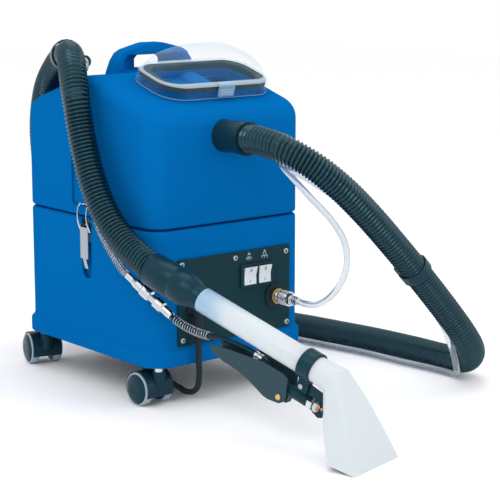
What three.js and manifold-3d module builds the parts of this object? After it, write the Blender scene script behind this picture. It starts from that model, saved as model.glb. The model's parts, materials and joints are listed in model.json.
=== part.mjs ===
// Portable spray-extraction carpet cleaner: a lower body on four twin-wheel casters, a recovery
// tank latched on top with a clear dome lid, two hoses, a mains lead and a hand tool.
// Millimetres, +Z up, -Y is the front with the control panel.
import * as THREE from 'three';
import { mergeVertices } from 'three/addons/utils/BufferGeometryUtils.js';
import Module from 'manifold-3d';

const wasm = await Module();
wasm.setup();

// ---------------------------------------------------------------- driving dimensions
const GAP = 0.3; // left between neighbouring pieces
const BODY = { width: 290, depth: 350, bottom: 61, top: 265.5, corner: 30, wall: 4, lip: 3 };
const SKIRT = { proud: 6, top: 83, shoulder: 89 };
const TANK = { bottom: 268.5, eaveFront: 438, eaveRear: 434, crest: 483, crestHalf: 26, fillet: 24, wall: 8 };
const BAND = { half: 38, depth: 4, ledge: 283 }; // shallow band up the side walls and over the roof
const INLET = { x: -12, z: 399.5, reach: 56, outer: 24 };
const DOME = { x: 14, y: -86, halfX: 105, halfV: 57, corner: 40, rim: 24, height: 69, clear: 2.5 };
const HUMP = { ledgeX: 6, ledgeV: 14, corner: 30, arch: 1.1, steps: 7 };
const MOUTH = { halfX: 85, halfV: 40, corner: 30, collar: 7, rise: 12 };
const FILL_HOLE = { x: 53, halfX: 29, halfV: 35, corner: 20 }; // the open part of the mouth
const SPLASH_RIB = { x: 4, radius: 20, flat: 0.6 };
const HANDLE = { x: 15, front: 34, rear: 60, foot: 80, shoulder: 62, plateau: 22, top: 526, sill: 470 };
const GRIP_GAP = { bottom: 484, top: 507, frontHalf: 60, rearHalf: 22 };
const PANEL = { x0: -103, x1: 114.5, z0: 90, z1: 220.5, thick: 2.7 };
const SWITCH = { x: 48, z: 181, halfX: 33, halfZ: 18.5, pitch: 29, rockerX: 11.6, rockerZ: 13.8, tilt: 7 };
const SOCKET = { x: 84, z: 143, washer: 20 };
const GLAND = { x: -76, z: 143, reach: 13.5, drop: 40 };
const CASTER = { x: 127, front: -160, rear: 150, radius: 25.5, trail: 22, width: 13, hood: 12, cover: 24 };
const LATCH = { recess: 8, half: 13, bottom: 170, pivotZ: 255, bailZ: 245, bailHalf: 12 };
const HOSE = { vacuum: 21.5, solution: 5, mains: 4.5 };
const COIL = { turnRadius: 63, halfWidth: 18, height: 38, x: 150, y: 385 };
const PLUG = { x: 236, y: 345, z: 18.3, radius: 18, length: 75 };
const TOOL = { x: -89.5, y: -509.3, z: 107, heading: 13.5, rise: 19.5 };
const WAND = { outer: 18.2, inner: 15.7, start: 42.2, end: 240 };
const MOUTHPIECE = { halfX: 55.5, wall: 2.6 };
const TRIGGER = { along: 69.2, down: -61, half: 13, web: 2 };

// ---------------------------------------------------------------- colours
const BLUE = 0x0068b2;
const BLACK = 0x26343a;
const RUBBER = 0x1b2a30;
const GREY = 0x9db4c8;
const WHITE = 0xe4eaee;
const CLEAR = 0xdce8ee;
const STEEL = 0xc9ced2;
const BRASS = 0xc9a35a;

function finish(color, roughness = 0.5, metalness = 0) {
  return new THREE.MeshStandardMaterial({ color, roughness, metalness });
}

// ---------------------------------------------------------------- solids
function toSolid(geometry) {
  const bare = geometry.clone();
  bare.deleteAttribute('normal');
  bare.deleteAttribute('uv');
  const merged = mergeVertices(bare, 1e-4);
  const vertProperties = new Float32Array(merged.attributes.position.array);
  const triVerts = new Uint32Array(merged.index.array);
  return new wasm.Manifold(new wasm.Mesh({ numProp: 3, vertProperties, triVerts }));
}

function toGeometry(solid) {
  const mesh = solid.getMesh();
  const geometry = new THREE.BufferGeometry();
  geometry.setAttribute('position', new THREE.BufferAttribute(new Float32Array(mesh.vertProperties), 3));
  geometry.setIndex(new THREE.BufferAttribute(new Uint32Array(mesh.triVerts), 1));
  geometry.computeVertexNormals();
  return geometry;
}

function join(first, ...others) {
  return toGeometry(others.reduce((sum, other) => sum.add(toSolid(other)), toSolid(first)));
}

function cut(first, ...others) {
  return toGeometry(others.reduce((rest, other) => rest.subtract(toSolid(other)), toSolid(first)));
}

function box(low, high) {
  const size = high.map((value, i) => value - low[i]);
  const middle = high.map((value, i) => (value + low[i]) / 2);
  return new THREE.BoxGeometry(...size).translate(...middle);
}

// Turns a shape made along +Z so that it points along another axis.
const TURN = {
  x: (geometry) => geometry.rotateY(Math.PI / 2),
  y: (geometry) => geometry.rotateX(-Math.PI / 2),
  z: (geometry) => geometry,
};

function rod(radius, from, to, axis = 'z', sides = 14) {
  const bar = new THREE.CylinderGeometry(radius, radius, to - from, sides);
  return TURN[axis](bar.rotateX(Math.PI / 2).translate(0, 0, (from + to) / 2));
}

// profile: [radius, height] pairs that start and end on the axis, or close on themselves.
function turned(profile, axis = 'z', sides = 20) {
  const points = profile.map(([radius, height]) => new THREE.Vector2(radius, height));
  return TURN[axis](new THREE.LatheGeometry(points, sides).rotateX(Math.PI / 2));
}

function ring(outer, inner, from, to, axis = 'z', sides = 20) {
  return turned([[inner, from], [outer, from], [outer, to], [inner, to], [inner, from]], axis, sides);
}

// Flat outline in the XY plane, extruded from z = from to z = to.
function slab(points, from, to) {
  const shape = new THREE.Shape(points.map(([x, y]) => new THREE.Vector2(x, y)));
  return new THREE.ExtrudeGeometry(shape, { depth: to - from, bevelEnabled: false }).translate(0, 0, from);
}

// The left half of a rounded rectangle, from the front edge to the rear edge, with extra stops
// along its straight side; the right half mirrors it.
function halfOutline(halfX, halfY, corner, stops = [], steps = 4) {
  const points = [];
  for (let i = 0; i <= steps; i += 1) {
    const angle = (Math.PI / 2) * (i / steps);
    points.push([-(halfX - corner) - corner * Math.sin(angle), -(halfY - corner) - corner * Math.cos(angle)]);
  }
  stops.forEach((y) => points.push([-halfX, y]));
  for (let i = steps; i >= 0; i -= 1) {
    const angle = (Math.PI / 2) * (i / steps);
    points.push([-(halfX - corner) - corner * Math.sin(angle), halfY - corner + corner * Math.cos(angle)]);
  }
  return points;
}

// Skins a stack of mirrored outlines. Each layer is a list of [x, y, z] on the left side;
// the right side is its mirror, so the end caps are strips that run straight across.
function skin(layers) {
  const half = layers[0].length;
  const count = 2 * half;
  const positions = [];
  layers.forEach((layer) => {
    layer.forEach(([x, y, z]) => positions.push(x, y, z));
    [...layer].reverse().forEach(([x, y, z]) => positions.push(-x, y, z));
  });
  const index = [];
  for (let k = 0; k + 1 < layers.length; k += 1) {
    for (let i = 0; i < count; i += 1) {
      const a = k * count + i;
      const b = k * count + ((i + 1) % count);
      index.push(a, a + count, b, b, a + count, b + count);
    }
  }
  const top = (layers.length - 1) * count;
  for (let i = 0; i + 1 < half; i += 1) {
    const mirror = count - 1 - i;
    index.push(i, i + 1, mirror, mirror, i + 1, mirror - 1);
    index.push(top + i, top + mirror, top + i + 1, top + mirror, top + mirror - 1, top + i + 1);
  }
  const geometry = new THREE.BufferGeometry();
  geometry.setAttribute('position', new THREE.BufferAttribute(new Float32Array(positions), 3));
  geometry.setIndex(index);
  return geometry;
}

// A block of rounded-rectangle layers: each layer is { z, inset }, z a number or a function of y.
function block(width, depth, corner, layers, stops = [], steps = 4) {
  return skin(layers.map(({ z, inset = 0 }) => {
    const round = Math.max(corner - inset, 4);
    const outline = halfOutline(width / 2 - inset, depth / 2 - inset, round, stops, steps);
    return outline.map(([x, y]) => [x, y, typeof z === 'function' ? z(y) : z]);
  }));
}

function fillet(radius, steps) {
  return Array.from({ length: steps + 1 }, (_, i) => {
    const angle = (Math.PI / 2) * (i / steps);
    return { inset: radius * (1 - Math.cos(angle)), drop: radius * (1 - Math.sin(angle)) };
  });
}

// Tube of even section along a smooth route through the given points.
function routed(points, radius, sides, steps) {
  const curve = new THREE.CatmullRomCurve3(points.map((p) => new THREE.Vector3(...p)), false, 'centripetal');
  const section = new THREE.Shape(Array.from({ length: sides }, (_, i) => {
    const angle = (2 * Math.PI * i) / sides;
    return new THREE.Vector2(radius * Math.cos(angle), radius * Math.sin(angle));
  }));
  return new THREE.ExtrudeGeometry(section, { steps, extrudePath: curve, bevelEnabled: false });
}

function part(parent, name, geometry, material, position = [0, 0, 0]) {
  const mesh = new THREE.Mesh(geometry, material);
  mesh.name = name;
  mesh.position.set(...position);
  parent.add(mesh);
  return mesh;
}

const machine = new THREE.Group();

// ---------------------------------------------------------------- lower body
function latchBacking(side) {
  const deep = side * (BODY.width / 2 - LATCH.recess - BODY.wall);
  const skinX = side * (BODY.width / 2 - 1);
  const x = [deep, skinX].sort((a, b) => a - b);
  return box([x[0], -LATCH.half - 4, LATCH.bottom - 4], [x[1], LATCH.half + 4, BODY.top - 1]);
}

function latchPocket(side) {
  const x = [side * (BODY.width / 2 - LATCH.recess), side * (BODY.width / 2 + 9)].sort((a, b) => a - b);
  return box([x[0], -LATCH.half, LATCH.bottom], [x[1], LATCH.half, BODY.top + 5]);
}

function lowerBody() {
  const { width, depth, corner, bottom, top, wall, lip } = BODY;
  const outer = block(width, depth, corner, [
    { z: bottom, inset: 1.5 - SKIRT.proud },
    { z: bottom + 1.5, inset: -SKIRT.proud },
    { z: SKIRT.top, inset: -SKIRT.proud },
    { z: SKIRT.shoulder, inset: 0 },
    { z: top - lip, inset: 0 },
    { z: top, inset: lip },
  ]);
  const inner = block(width - 2 * wall, depth - 2 * wall, corner - wall, [
    { z: bottom - 5 },
    { z: top - wall },
  ]);
  const shell = join(cut(outer, inner), latchBacking(-1), latchBacking(1));
  const { x0, x1, z0, z1 } = PANEL;
  const panelHole = box([x0 + 6, -depth / 2 - 9, z0 + 6], [x1 - 6, -depth / 2 + 9, z1 - 6]);
  const suctionHole = rod(19, top - 9, top + 9).translate(60, 40, 0);
  return cut(shell, latchPocket(-1), latchPocket(1), panelHole, suctionHole);
}

function basePlate() {
  const margin = BODY.wall + GAP;
  const plate = block(BODY.width - 2 * margin, BODY.depth - 2 * margin, BODY.corner - margin, [
    { z: BODY.bottom + 1 },
    { z: BODY.bottom + 6 },
  ]);
  const stemHole = ({ x, y }) => rod(5.4, BODY.bottom - 2, BODY.bottom + 9).translate(x, y, 0);
  return cut(plate, ...casterPlaces().map(stemHole));
}

function casterPlaces() {
  const { x, front, rear } = CASTER;
  return [
    { name: 'front_left', x: -x, y: front, turn: 2 },
    { name: 'front_right', x, y: front, turn: 12 },
    { name: 'rear_left', x: -x, y: rear, turn: -14 },
    { name: 'rear_right', x, y: rear, turn: 8 },
  ];
}

function solutionTank() {
  const size = { x: 234, y: 118, low: 68, high: 246, wall: 4 };
  const outer = block(size.x, size.y, 20, [{ z: size.low }, { z: size.high }], [], 3);
  const inner = block(size.x - 2 * size.wall, size.y - 2 * size.wall, 16, [
    { z: size.low + size.wall },
    { z: size.high - size.wall },
  ], [], 3);
  const filler = rod(24, size.high - 9, size.high + 9);
  return cut(outer, inner, filler).translate(0, 104, 0);
}

function vacuumMotor() {
  const profile = [[0, 0], [58, 0], [62, 4], [62, 62], [50, 70], [50, 132],
    [44, 140], [14, 140], [14, 150], [0, 150]];
  return turned(profile, 'z', 24).translate(50, -50, BODY.bottom + 7);
}

function pump() {
  const motor = rod(31, 0, 88, 'z', 18);
  const head = box([-28, -28, 87], [28, 28, 122]);
  const outlet = rod(7, 27, 44, 'x').translate(0, 0, 105);
  return join(motor, head, outlet).translate(-72, -60, BODY.bottom + 7);
}

// ---------------------------------------------------------------- control panel
function controlPanel() {
  const { x0, x1, z0, z1, thick } = PANEL;
  const front = -BODY.depth / 2 - GAP - thick;
  const plate = box([x0, front, z0], [x1, front + thick, z1]);
  const { x, z, halfX, halfZ } = SWITCH;
  const [wide, tall] = [halfX - 1.5, halfZ - 1.5];
  const window = box([x - wide, front - 5, z - tall], [x + wide, front + 9, z + tall]);
  const socketHole = rod(11, front - 5, front + 9, 'y').translate(SOCKET.x, 0, SOCKET.z);
  const glandHole = rod(8.4, front - 5, front + 9, 'y').translate(GLAND.x, 0, GLAND.z);
  return cut(plate, window, socketHole, glandHole);
}

function switchFrame() {
  const { x, z, halfX, halfZ, pitch, rockerX, rockerZ } = SWITCH;
  const front = -BODY.depth / 2 - GAP - PANEL.thick;
  const bezel = box([x - halfX, front - 3, z - halfZ], [x + halfX, front - GAP, z + halfZ]);
  const body = box([x - halfX + 2, front - 1, z - halfZ + 2], [x + halfX - 2, front + 26, z + halfZ - 2]);
  const wells = [-1, 1].map((side) => {
    const middle = x + (side * pitch) / 2;
    const [wide, tall] = [rockerX + 1, rockerZ + 1.2];
    return box([middle - wide, front - 9, z - tall], [middle + wide, front + 14, z + tall]);
  });
  return cut(join(bezel, body), ...wells);
}

// A rocker is a shallow V across its pivot; it is stored with its upper half pressed in.
function rocker() {
  const { rockerX, rockerZ, tilt } = SWITCH;
  const outline = [[-8, -rockerZ + 2], [1.5, -rockerZ], [-0.6, 0], [1.5, rockerZ], [-8, rockerZ - 2]];
  const key = slab(outline.map(([out, up]) => [out, up]), -rockerX, rockerX);
  key.rotateX(Math.PI / 2).rotateZ(-Math.PI / 2);
  return key.rotateX(THREE.MathUtils.degToRad(tilt));
}

// A right-angle boot: out of the panel, then down, tapering towards the lead.
function cordGland() {
  const { reach, drop } = GLAND;
  const bend = [[0, -3, 0], [0, -9, -1.5], [0, -reach, -8], [0, -reach, -16], [0, -reach, -24]];
  const elbow = routed(bend, 7, 12, 10);
  const taper = turned([[0, -drop], [5.4, -drop], [6.9, -22], [0, -22]].reverse(), 'z', 12);
  const flange = rod(11, -5, -GAP, 'y', 18);
  const stub = rod(8, -1, 12, 'y', 14);
  return join(flange, stub, elbow, taper.translate(0, -reach, 0));
}

function addControls() {
  const front = -BODY.depth / 2 - GAP - PANEL.thick;
  part(machine, 'control_panel', controlPanel(), finish(0x263e46, 0.45));
  part(machine, 'switch_frame', switchFrame(), finish(0x1c262b, 0.5));
  const names = { '-1': 'rocker_pump', 1: 'rocker_vacuum' };
  [-1, 1].forEach((side) => {
    const middle = SWITCH.x + (side * SWITCH.pitch) / 2;
    part(machine, names[side], rocker(), finish(0xe9edf0, 0.35), [middle, front - 3, SWITCH.z]);
  });
  const place = [SOCKET.x, front - GAP, SOCKET.z];
  const frameEdge = [SWITCH.x + SWITCH.halfX + GAP - SOCKET.x, SWITCH.z - SWITCH.halfZ - GAP - SOCKET.z];
  const notch = box([-60, -9, frameEdge[1]], [frameEdge[0], 9, 60]);
  const washer = cut(ring(SOCKET.washer, 9, -3, 0, 'y', 24), notch);
  part(machine, 'coupling_washer', washer, finish(RUBBER, 0.6), place);
  const nut = rod(12.5, -10, -3 - GAP, 'y', 6);
  const socket = join(rod(8.4, -18, 34, 'y'), rod(10.6, -13.5, -9, 'y', 18), nut);
  part(machine, 'coupling_socket', cut(socket, rod(3, -20, 36, 'y', 8)), finish(BRASS, 0.3, 1), place);
  const sleeve = ring(11.5, 9.2, -37, -19.3, 'y');
  part(machine, 'coupling_sleeve', sleeve, finish(STEEL, 0.2, 1), place);
  const tailProfile = [[2.5, -56], [6.6, -56], [6.6, -44], [8.6, -43],
    [8.6, -18.4], [2.5, -18.4], [2.5, -56]];
  part(machine, 'hose_tail', turned(tailProfile, 'y', 14), finish(STEEL, 0.2, 1), place);
  part(machine, 'cord_gland', cordGland(), finish(RUBBER, 0.6), [GLAND.x, front, GLAND.z]);
}

// ---------------------------------------------------------------- recovery tank
function roof(y) {
  const { eaveFront, eaveRear, crest, crestHalf } = TANK;
  const run = BODY.depth / 2 - crestHalf;
  if (y < -crestHalf) return eaveFront + ((crest - eaveFront) * (y + BODY.depth / 2)) / run;
  if (y > crestHalf) return eaveRear + ((crest - eaveRear) * (BODY.depth / 2 - y)) / run;
  return crest;
}

const ROOF_STOPS = [-90, -TANK.crestHalf, 0, TANK.crestHalf, 90];
const SLOPE = Math.atan2(TANK.crest - TANK.eaveFront, BODY.depth / 2 - TANK.crestHalf);

function tankBlock(shrink, radius, steps, bottomLayers) {
  const curve = fillet(radius, steps).map(({ inset, drop }) => (
    { inset, z: (y) => roof(y) - shrink - drop }
  ));
  const width = BODY.width - 2 * shrink;
  const depth = BODY.depth - 2 * shrink;
  return block(width, depth, BODY.corner - shrink / 2, [...bottomLayers, ...curve], ROOF_STOPS);
}

function handleSolid() {
  const { x, front, rear, foot, shoulder, plateau, top, sill } = HANDLE;
  const outline = [[-foot, sill], [-shoulder, top - 12], [-plateau, top],
    [plateau, top], [shoulder, top - 12], [foot, sill]];
  const arch = slab(outline, 0, rear - front).rotateX(Math.PI / 2).translate(x, rear, 0);
  const { bottom, top: gapTop, frontHalf, rearHalf } = GRIP_GAP;
  const scoop = slab([[-frontHalf, -1], [frontHalf, -1], [rearHalf, 1], [-rearHalf, 1]], bottom, gapTop);
  scoop.scale(1, (rear - front + 1) / 2, 1).translate(x, (rear + front) / 2, 0);
  return cut(arch, scoop);
}

// Layers of a rounded rectangle in the lid's own sloping frame.
function lidBlock(halfX, halfV, corner, layers, steps = 4) {
  return block(2 * halfX, 2 * halfV, corner, layers, [], steps);
}

function onSlope(geometry) {
  return geometry.rotateX(SLOPE).translate(DOME.x, DOME.y, roof(DOME.y));
}

function collarBlock() {
  const { halfX, halfV, corner, collar, rise } = MOUTH;
  return onSlope(lidBlock(halfX + collar, halfV + collar, corner + collar, [{ z: -4 }, { z: rise }]));
}

function collarInside() {
  const { halfX, halfV, corner, rise } = MOUTH;
  return onSlope(lidBlock(halfX, halfV, corner, [{ z: 0 }, { z: rise + 9 }]));
}

// The rounded rib that keeps splashes out of the shut half of the mouth.
function splashRib() {
  const { x, radius, flat } = SPLASH_RIB;
  const half = MOUTH.halfV + MOUTH.collar / 2;
  return onSlope(rod(radius, -half, half, 'y', 20).scale(1, 1, flat).translate(x, 0, -2));
}

function fillHole() {
  const { x, halfX, halfV, corner } = FILL_HOLE;
  return onSlope(lidBlock(halfX, halfV, corner, [{ z: -30 }, { z: MOUTH.rise - 1 }]).translate(x, 0, 0));
}

function recoveryTank() {
  const { bottom, wall, fillet: radius } = TANK;
  const lip = BODY.lip;
  const outer = tankBlock(0, radius, 4, [{ z: bottom, inset: lip }, { z: bottom + lip, inset: 0 }]);
  const inner = tankBlock(wall, radius - wall, 2, [{ z: bottom + wall, inset: 0 }]);
  const front = -BODY.depth / 2;
  const stub = rod(INLET.outer + 5, front - 1, front + 30, 'y', 24).translate(INLET.x, 0, INLET.z);
  const bore = rod(INLET.outer + GAP, front - 9, front + 39, 'y', 24).translate(INLET.x, 0, INLET.z);
  const band = BAND.half;
  const sides = [-1, 1].map((side) => {
    const x = [side * (BODY.width / 2 - BAND.depth), side * (BODY.width / 2 + 9)].sort((a, b) => a - b);
    return box([x[0], -band, BAND.ledge], [x[1], band, 520]);
  });
  const overRoof = box([-200, -band, TANK.crest - BAND.depth], [200, band, 520]);
  const shell = cut(join(outer, collarBlock()), inner, ...sides, overRoof);
  const suctionHole = rod(19, bottom - 9, bottom + wall + 9).translate(60, 40, 0);
  const open = cut(join(shell, handleSolid(), stub), collarInside(), bore, suctionHole);
  return cut(join(open, splashRib()), fillHole());
}

// One outline of the lid, its two half sizes scaled apart so that the hump arches both ways.
function lidLayer(halfX, halfV, corner, z) {
  const round = Math.min(corner, halfX - 0.01, halfV - 0.01);
  return halfOutline(halfX, halfV, round).map(([x, v]) => [x, v, z]);
}

function lidSkin(shrink, bottom) {
  const { halfX, halfV, corner, rim, height } = DOME;
  const layers = [
    lidLayer(halfX - shrink, halfV - shrink, corner - shrink, bottom),
    lidLayer(halfX - 2 - shrink, halfV - 2 - shrink, corner - 2 - shrink, rim - shrink),
  ];
  for (let i = 0; i < HUMP.steps; i += 1) {
    const angle = (Math.PI / 2) * (i / (HUMP.steps - 0.6));
    const wide = Math.cos(angle) ** HUMP.arch;
    const humpX = (halfX - HUMP.ledgeX - shrink) * wide;
    const humpV = (halfV - HUMP.ledgeV - shrink) * wide;
    const z = rim - shrink + (height - rim) * Math.sin(angle);
    layers.push(lidLayer(humpX, humpV, HUMP.corner * wide, z));
  }
  return skin(layers);
}

function domeLid() {
  return onSlope(cut(lidSkin(0, 3), lidSkin(DOME.clear, 0)));
}

function lidGasket() {
  const { halfX, halfV, corner, collar, rise } = MOUTH;
  const z0 = rise + GAP;
  const z1 = DOME.rim - DOME.clear - GAP;
  const outer = lidBlock(halfX + collar + 3, halfV + collar + 3, corner + collar + 3, [{ z: z0 }, { z: z1 }]);
  const inner = lidBlock(halfX + 1, halfV + 1, corner + 1, [{ z: z0 - 5 }, { z: z1 + 5 }]);
  return onSlope(cut(outer, inner));
}

function lidClip() {
  const y = -DOME.halfV - GAP;
  const front = box([-15, y - 3.4, 7], [15, y - 1.4, DOME.rim + 1]);
  const hook = box([-15, y - 3.4, DOME.rim + GAP], [15, y + 8, DOME.rim + 2.4]);
  return onSlope(join(front, hook));
}

function floatCage() {
  const sides = 18;
  const tube = ring(22, 17, BODY.top - 12, 400, 'z', sides);
  const cage = ring(22, 17.5, 396, 446, 'z', sides);
  const windows = box([-30, -8, 404], [30, 8, 438]);
  const crossWindows = box([-8, -30, 404], [8, 30, 438]);
  const seats = [396, 442].map((z) => ring(18, 10, z, z + 4, 'z', sides));
  return cut(join(tube, cage, ...seats), windows, crossWindows).scale(0.8, 0.8, 1);
}

function addTank() {
  part(machine, 'recovery_tank', recoveryTank(), finish(BLUE, 0.45));
  part(machine, 'dome_lid', domeLid(), finish(CLEAR, 0.08));
  part(machine, 'lid_gasket', lidGasket(), finish(0x4a5c62, 0.7));
  part(machine, 'lid_clip', lidClip(), finish(CLEAR, 0.1));
  part(machine, 'float_cage', floatCage(), finish(RUBBER, 0.5), [60, 40, 0]);
  part(machine, 'float_ball', new THREE.SphereGeometry(12, 14, 10), finish(WHITE, 0.4), [60, 40, 409.4]);
  const { outer, reach } = INLET;
  const tail = reach + BODY.depth / 2;
  const front = BODY.depth / 2;
  const profile = [[20, -tail], [outer + 1.6, -tail], [outer + 1.6, -tail + 9], [outer, -tail + 10],
    [outer, -front + 26], [20, -front + 26], [20, -tail]];
  part(machine, 'inlet_cuff', turned(profile, 'y', 24), finish(BLACK, 0.5), [INLET.x, 0, INLET.z]);
}

// ---------------------------------------------------------------- latches
// Modelled for the left wall, with +X towards the machine; mirrored for the right wall.
function latchBracket() {
  const floor = LATCH.recess;
  const plate = box([floor - 2, -7.5, 228], [floor - GAP, 7.5, 262]);
  const ears = [-1, 1].map((side) => {
    const y = [side * 5.5, side * 7.5].sort((a, b) => a - b);
    return box([-1.2, y[0], LATCH.pivotZ - 5], [floor - 1, y[1], LATCH.pivotZ + 3]);
  });
  return cut(join(plate, ...ears), rod(2.1, -10, 10, 'y', 10).translate(1.5, 0, LATCH.pivotZ));
}

function latchLever() {
  const plate = box([-4.5, -10.2, 203], [-2.7, 10.2, 252]);
  const ears = [-1, 1].map((side) => {
    const y = [side * 8.2, side * 10.2].sort((a, b) => a - b);
    return box([-4, y[0], LATCH.bailZ - 4], [3.6, y[1], LATCH.pivotZ + 2.4]);
  });
  const pin = rod(1.6, -9, 9, 'y', 10).translate(1.5, 0, LATCH.pivotZ);
  const tab = box([-0.9, -4.5, -17], [0.9, 4.5, 1]).rotateY(-0.25).translate(-3.6, 0, 203.4);
  return join(plate, ...ears, pin, tab);
}

function latchBail() {
  const half = LATCH.bailHalf;
  const { bailZ } = LATCH;
  const leg = [[-1.5, bailZ], [-6, bailZ + 12], [-7.5, bailZ + 26],
    [-5, 284], [-0.5, 288.5], [1.7, 286.4]];
  const left = leg.map(([x, z]) => [x, half, z]);
  const right = [...leg].reverse().map(([x, z]) => [x, -half, z]);
  return routed([...left, [1.7, 0, 286.4], ...right], 1.4, 8, 22);
}

function addLatch(side) {
  const name = side < 0 ? 'left' : 'right';
  const mirror = (geometry) => {
    if (side < 0) return geometry;
    return geometry.rotateZ(Math.PI);
  };
  const wall = [side * (BODY.width / 2), 0, 0];
  part(machine, `latch_bracket_${name}`, mirror(latchBracket()), finish(STEEL, 0.3, 1), wall);
  part(machine, `latch_lever_${name}`, mirror(latchLever()), finish(STEEL, 0.2, 1), wall);
  part(machine, `latch_bail_${name}`, mirror(latchBail()), finish(STEEL, 0.2, 1), wall);
}

// ---------------------------------------------------------------- casters
function casterHood() {
  const { radius, trail, hood, cover } = CASTER;
  const core = rod(radius + 1.9, -hood, hood, 'x', 26);
  const shell = ring(radius + 1.9, radius + 0.6, -cover, cover, 'x', 26);
  const trimmed = cut(join(core, shell).translate(0, trail, radius), box([-40, -20, -5], [40, 80, 15]));
  const boss = rod(10, radius + 2, BODY.bottom - 7.7);
  const bore = rod(5.4, radius + 14, BODY.bottom);
  const axle = rod(3, -hood - 9, hood + 9, 'x', 10).translate(0, trail, radius);
  return join(cut(join(trimmed, boss), bore), axle);
}

function casterWheel() {
  const { radius, width } = CASTER;
  const profile = [[3.5, 0], [radius - 2.5, 0], [radius, 3], [radius, width - 3], [radius - 3, width],
    [0, width], [0, width - 3], [3.5, width - 3], [3.5, 0]];
  return turned(profile, 'x', 24);
}

function addCaster({ name, x, y, turn }) {
  const swivel = new THREE.Group();
  swivel.position.set(x, y, 0);
  swivel.rotation.z = THREE.MathUtils.degToRad(turn);
  machine.add(swivel);
  const { radius, trail, hood } = CASTER;
  const stem = join(rod(5, radius + 15, BODY.bottom + 28), rod(8, BODY.bottom - 7.4, BODY.bottom - 1));
  part(swivel, `caster_stem_${name}`, stem, finish(STEEL, 0.25, 1));
  part(swivel, `caster_hood_${name}`, casterHood(), finish(BLACK, 0.5));
  const axle = [0, trail, radius];
  const right = casterWheel();
  const left = casterWheel().rotateY(Math.PI);
  part(swivel, `caster_wheel_${name}_a`, left, finish(GREY, 0.5), [-hood - 0.8, axle[1], axle[2]]);
  part(swivel, `caster_wheel_${name}_b`, right, finish(GREY, 0.5), [hood + 0.8, axle[1], axle[2]]);
}

// ---------------------------------------------------------------- hand tool
// The tool frame has its origin where the wand's axis meets the nozzle, -Y towards the nozzle's
// front; the wand frame is tilted in it so that +Y runs up the wand.
const tool = new THREE.Group();
tool.position.set(TOOL.x, TOOL.y, TOOL.z);
tool.rotation.z = THREE.MathUtils.degToRad(TOOL.heading);
machine.add(tool);
const wand = new THREE.Group();
wand.rotation.x = THREE.MathUtils.degToRad(TOOL.rise);
tool.add(wand);

// One oval or rounded-rectangle section of the nozzle: centre, tilt of its depth axis, half sizes.
function nozzleSection({ y, z, tilt, halfX, halfV, corner }, grow) {
  const round = Math.min(corner, halfX, halfV) + grow - 0.01;
  const outline = halfOutline(halfX + grow, halfV + grow, round, [], 6);
  const c = Math.cos(tilt);
  const s = Math.sin(tilt);
  return outline.map(([px, v]) => [px, y + v * c, z + v * s]);
}

function nozzleSolid(grow, reach) {
  const rise = THREE.MathUtils.degToRad(TOOL.rise);
  const neck = 18.7;
  const neckAt = (along) => ({
    y: along * Math.cos(rise),
    z: along * Math.sin(rise),
    tilt: rise - Math.PI / 2,
    halfX: neck,
    halfV: neck,
    corner: neck,
  });
  const bend = { y: 0, z: 0, tilt: -0.86, halfX: neck, halfV: 23, corner: neck };
  const mouth = { y: -45, z: -102, tilt: 0.218, halfX: MOUTHPIECE.halfX, halfV: 23.2, corner: 5 };
  const mix = (a, b, t) => a + (b - a) * t;
  const keys = Object.keys(bend);
  const blend = (t) => Object.fromEntries(keys.map((key) => [key, mix(bend[key], mouth[key], t)]));
  const past = { ...mouth };
  past.y -= 0.38 * reach;
  past.z -= 0.92 * reach;
  past.halfX += 0.36 * reach;
  const sections = [mouth, blend(0.65), blend(0.3), bend, neckAt(14), neckAt(41.8 + reach)];
  if (reach > 0) sections.unshift(past);
  return skin(sections.map((section) => nozzleSection(section, grow)));
}

function suctionNozzle() {
  return cut(nozzleSolid(0, 0), nozzleSolid(-MOUTHPIECE.wall, 6));
}

function toolCuff() {
  const start = WAND.end;
  const profile = [[12.5, start - 18], [15.2, start - 18], [15.2, start + 0.6], [18.2, start + 0.6],
    [18.2, start + 12], [24.6, start + 27], [25.4, start + 36], [25.4, start + 92], [24.4, start + 101],
    [21.9, start + 101], [21.9, start + 80], [12.5, start + 40], [12.5, start - 18]];
  const cuff = turned(profile, 'y', 24);
  const vent = box([-7, start + 44, 14], [7, start + 66, 30]);
  return cut(cuff, vent);
}

function collarClamp() {
  const band = ring(22, 19.1, 32, 53, 'y', 24);
  const lug = box([-5, 34, -40], [5, 52, -20]);
  return cut(join(band, lug), rod(19, 20, 70, 'y', 24));
}

function valveBody() {
  const barrel = rod(8.4, 30, 79, 'y', 14).translate(0, 0, -49);
  const nut = rod(9.4, 18, 30.5, 'y', 6).translate(0, 0, -49);
  const lug = box([-6, 59, -67], [6, 79, -49]);
  return cut(join(barrel, nut, lug), rod(2.9, -9, 9, 'x', 12).translate(0, TRIGGER.along, TRIGGER.down));
}

function triggerLever() {
  const outline = [[199, -47], [193, -57], [170, -60], [148, -60], [126, -63], [106, -68.5],
    [93, -72.5], [84, -73], [66, -69.5], [58.5, -63], [58.5, -54], [64, -30], [72, -27],
    [111, -28], [167, -39]];
  const { half, web } = TRIGGER;
  const turnedUp = (geometry) => geometry.rotateX(Math.PI / 2).rotateZ(Math.PI / 2);
  const body = turnedUp(slab(outline, -half, half));
  const hollow = box([-half + web, 40, -65.5], [half - web, 150, -20]);
  const slot = box([-half + web, 140, -54.5], [half - web, 205, -20]);
  const pinHole = rod(2.9, -20, 20, 'x', 12).translate(0, TRIGGER.along, TRIGGER.down);
  return cut(body, hollow, slot, box([-half + web, 40, -80], [half - web, 84, -60]), pinHole);
}

function valvePipe() {
  const route = [[0, 283.5, -50.2], [0, 262, -52], [0, 236, -50], [0, 212, -44], [0, 190, -37], [0, 165, -32],
    [0, 140, -29.5], [0, 114, -31], [0, 98, -38], [0, 90, -44], [0, 84.5, -48.6], [0, 79.6, -49]];
  return routed(route, 4, 8, 30);
}

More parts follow.
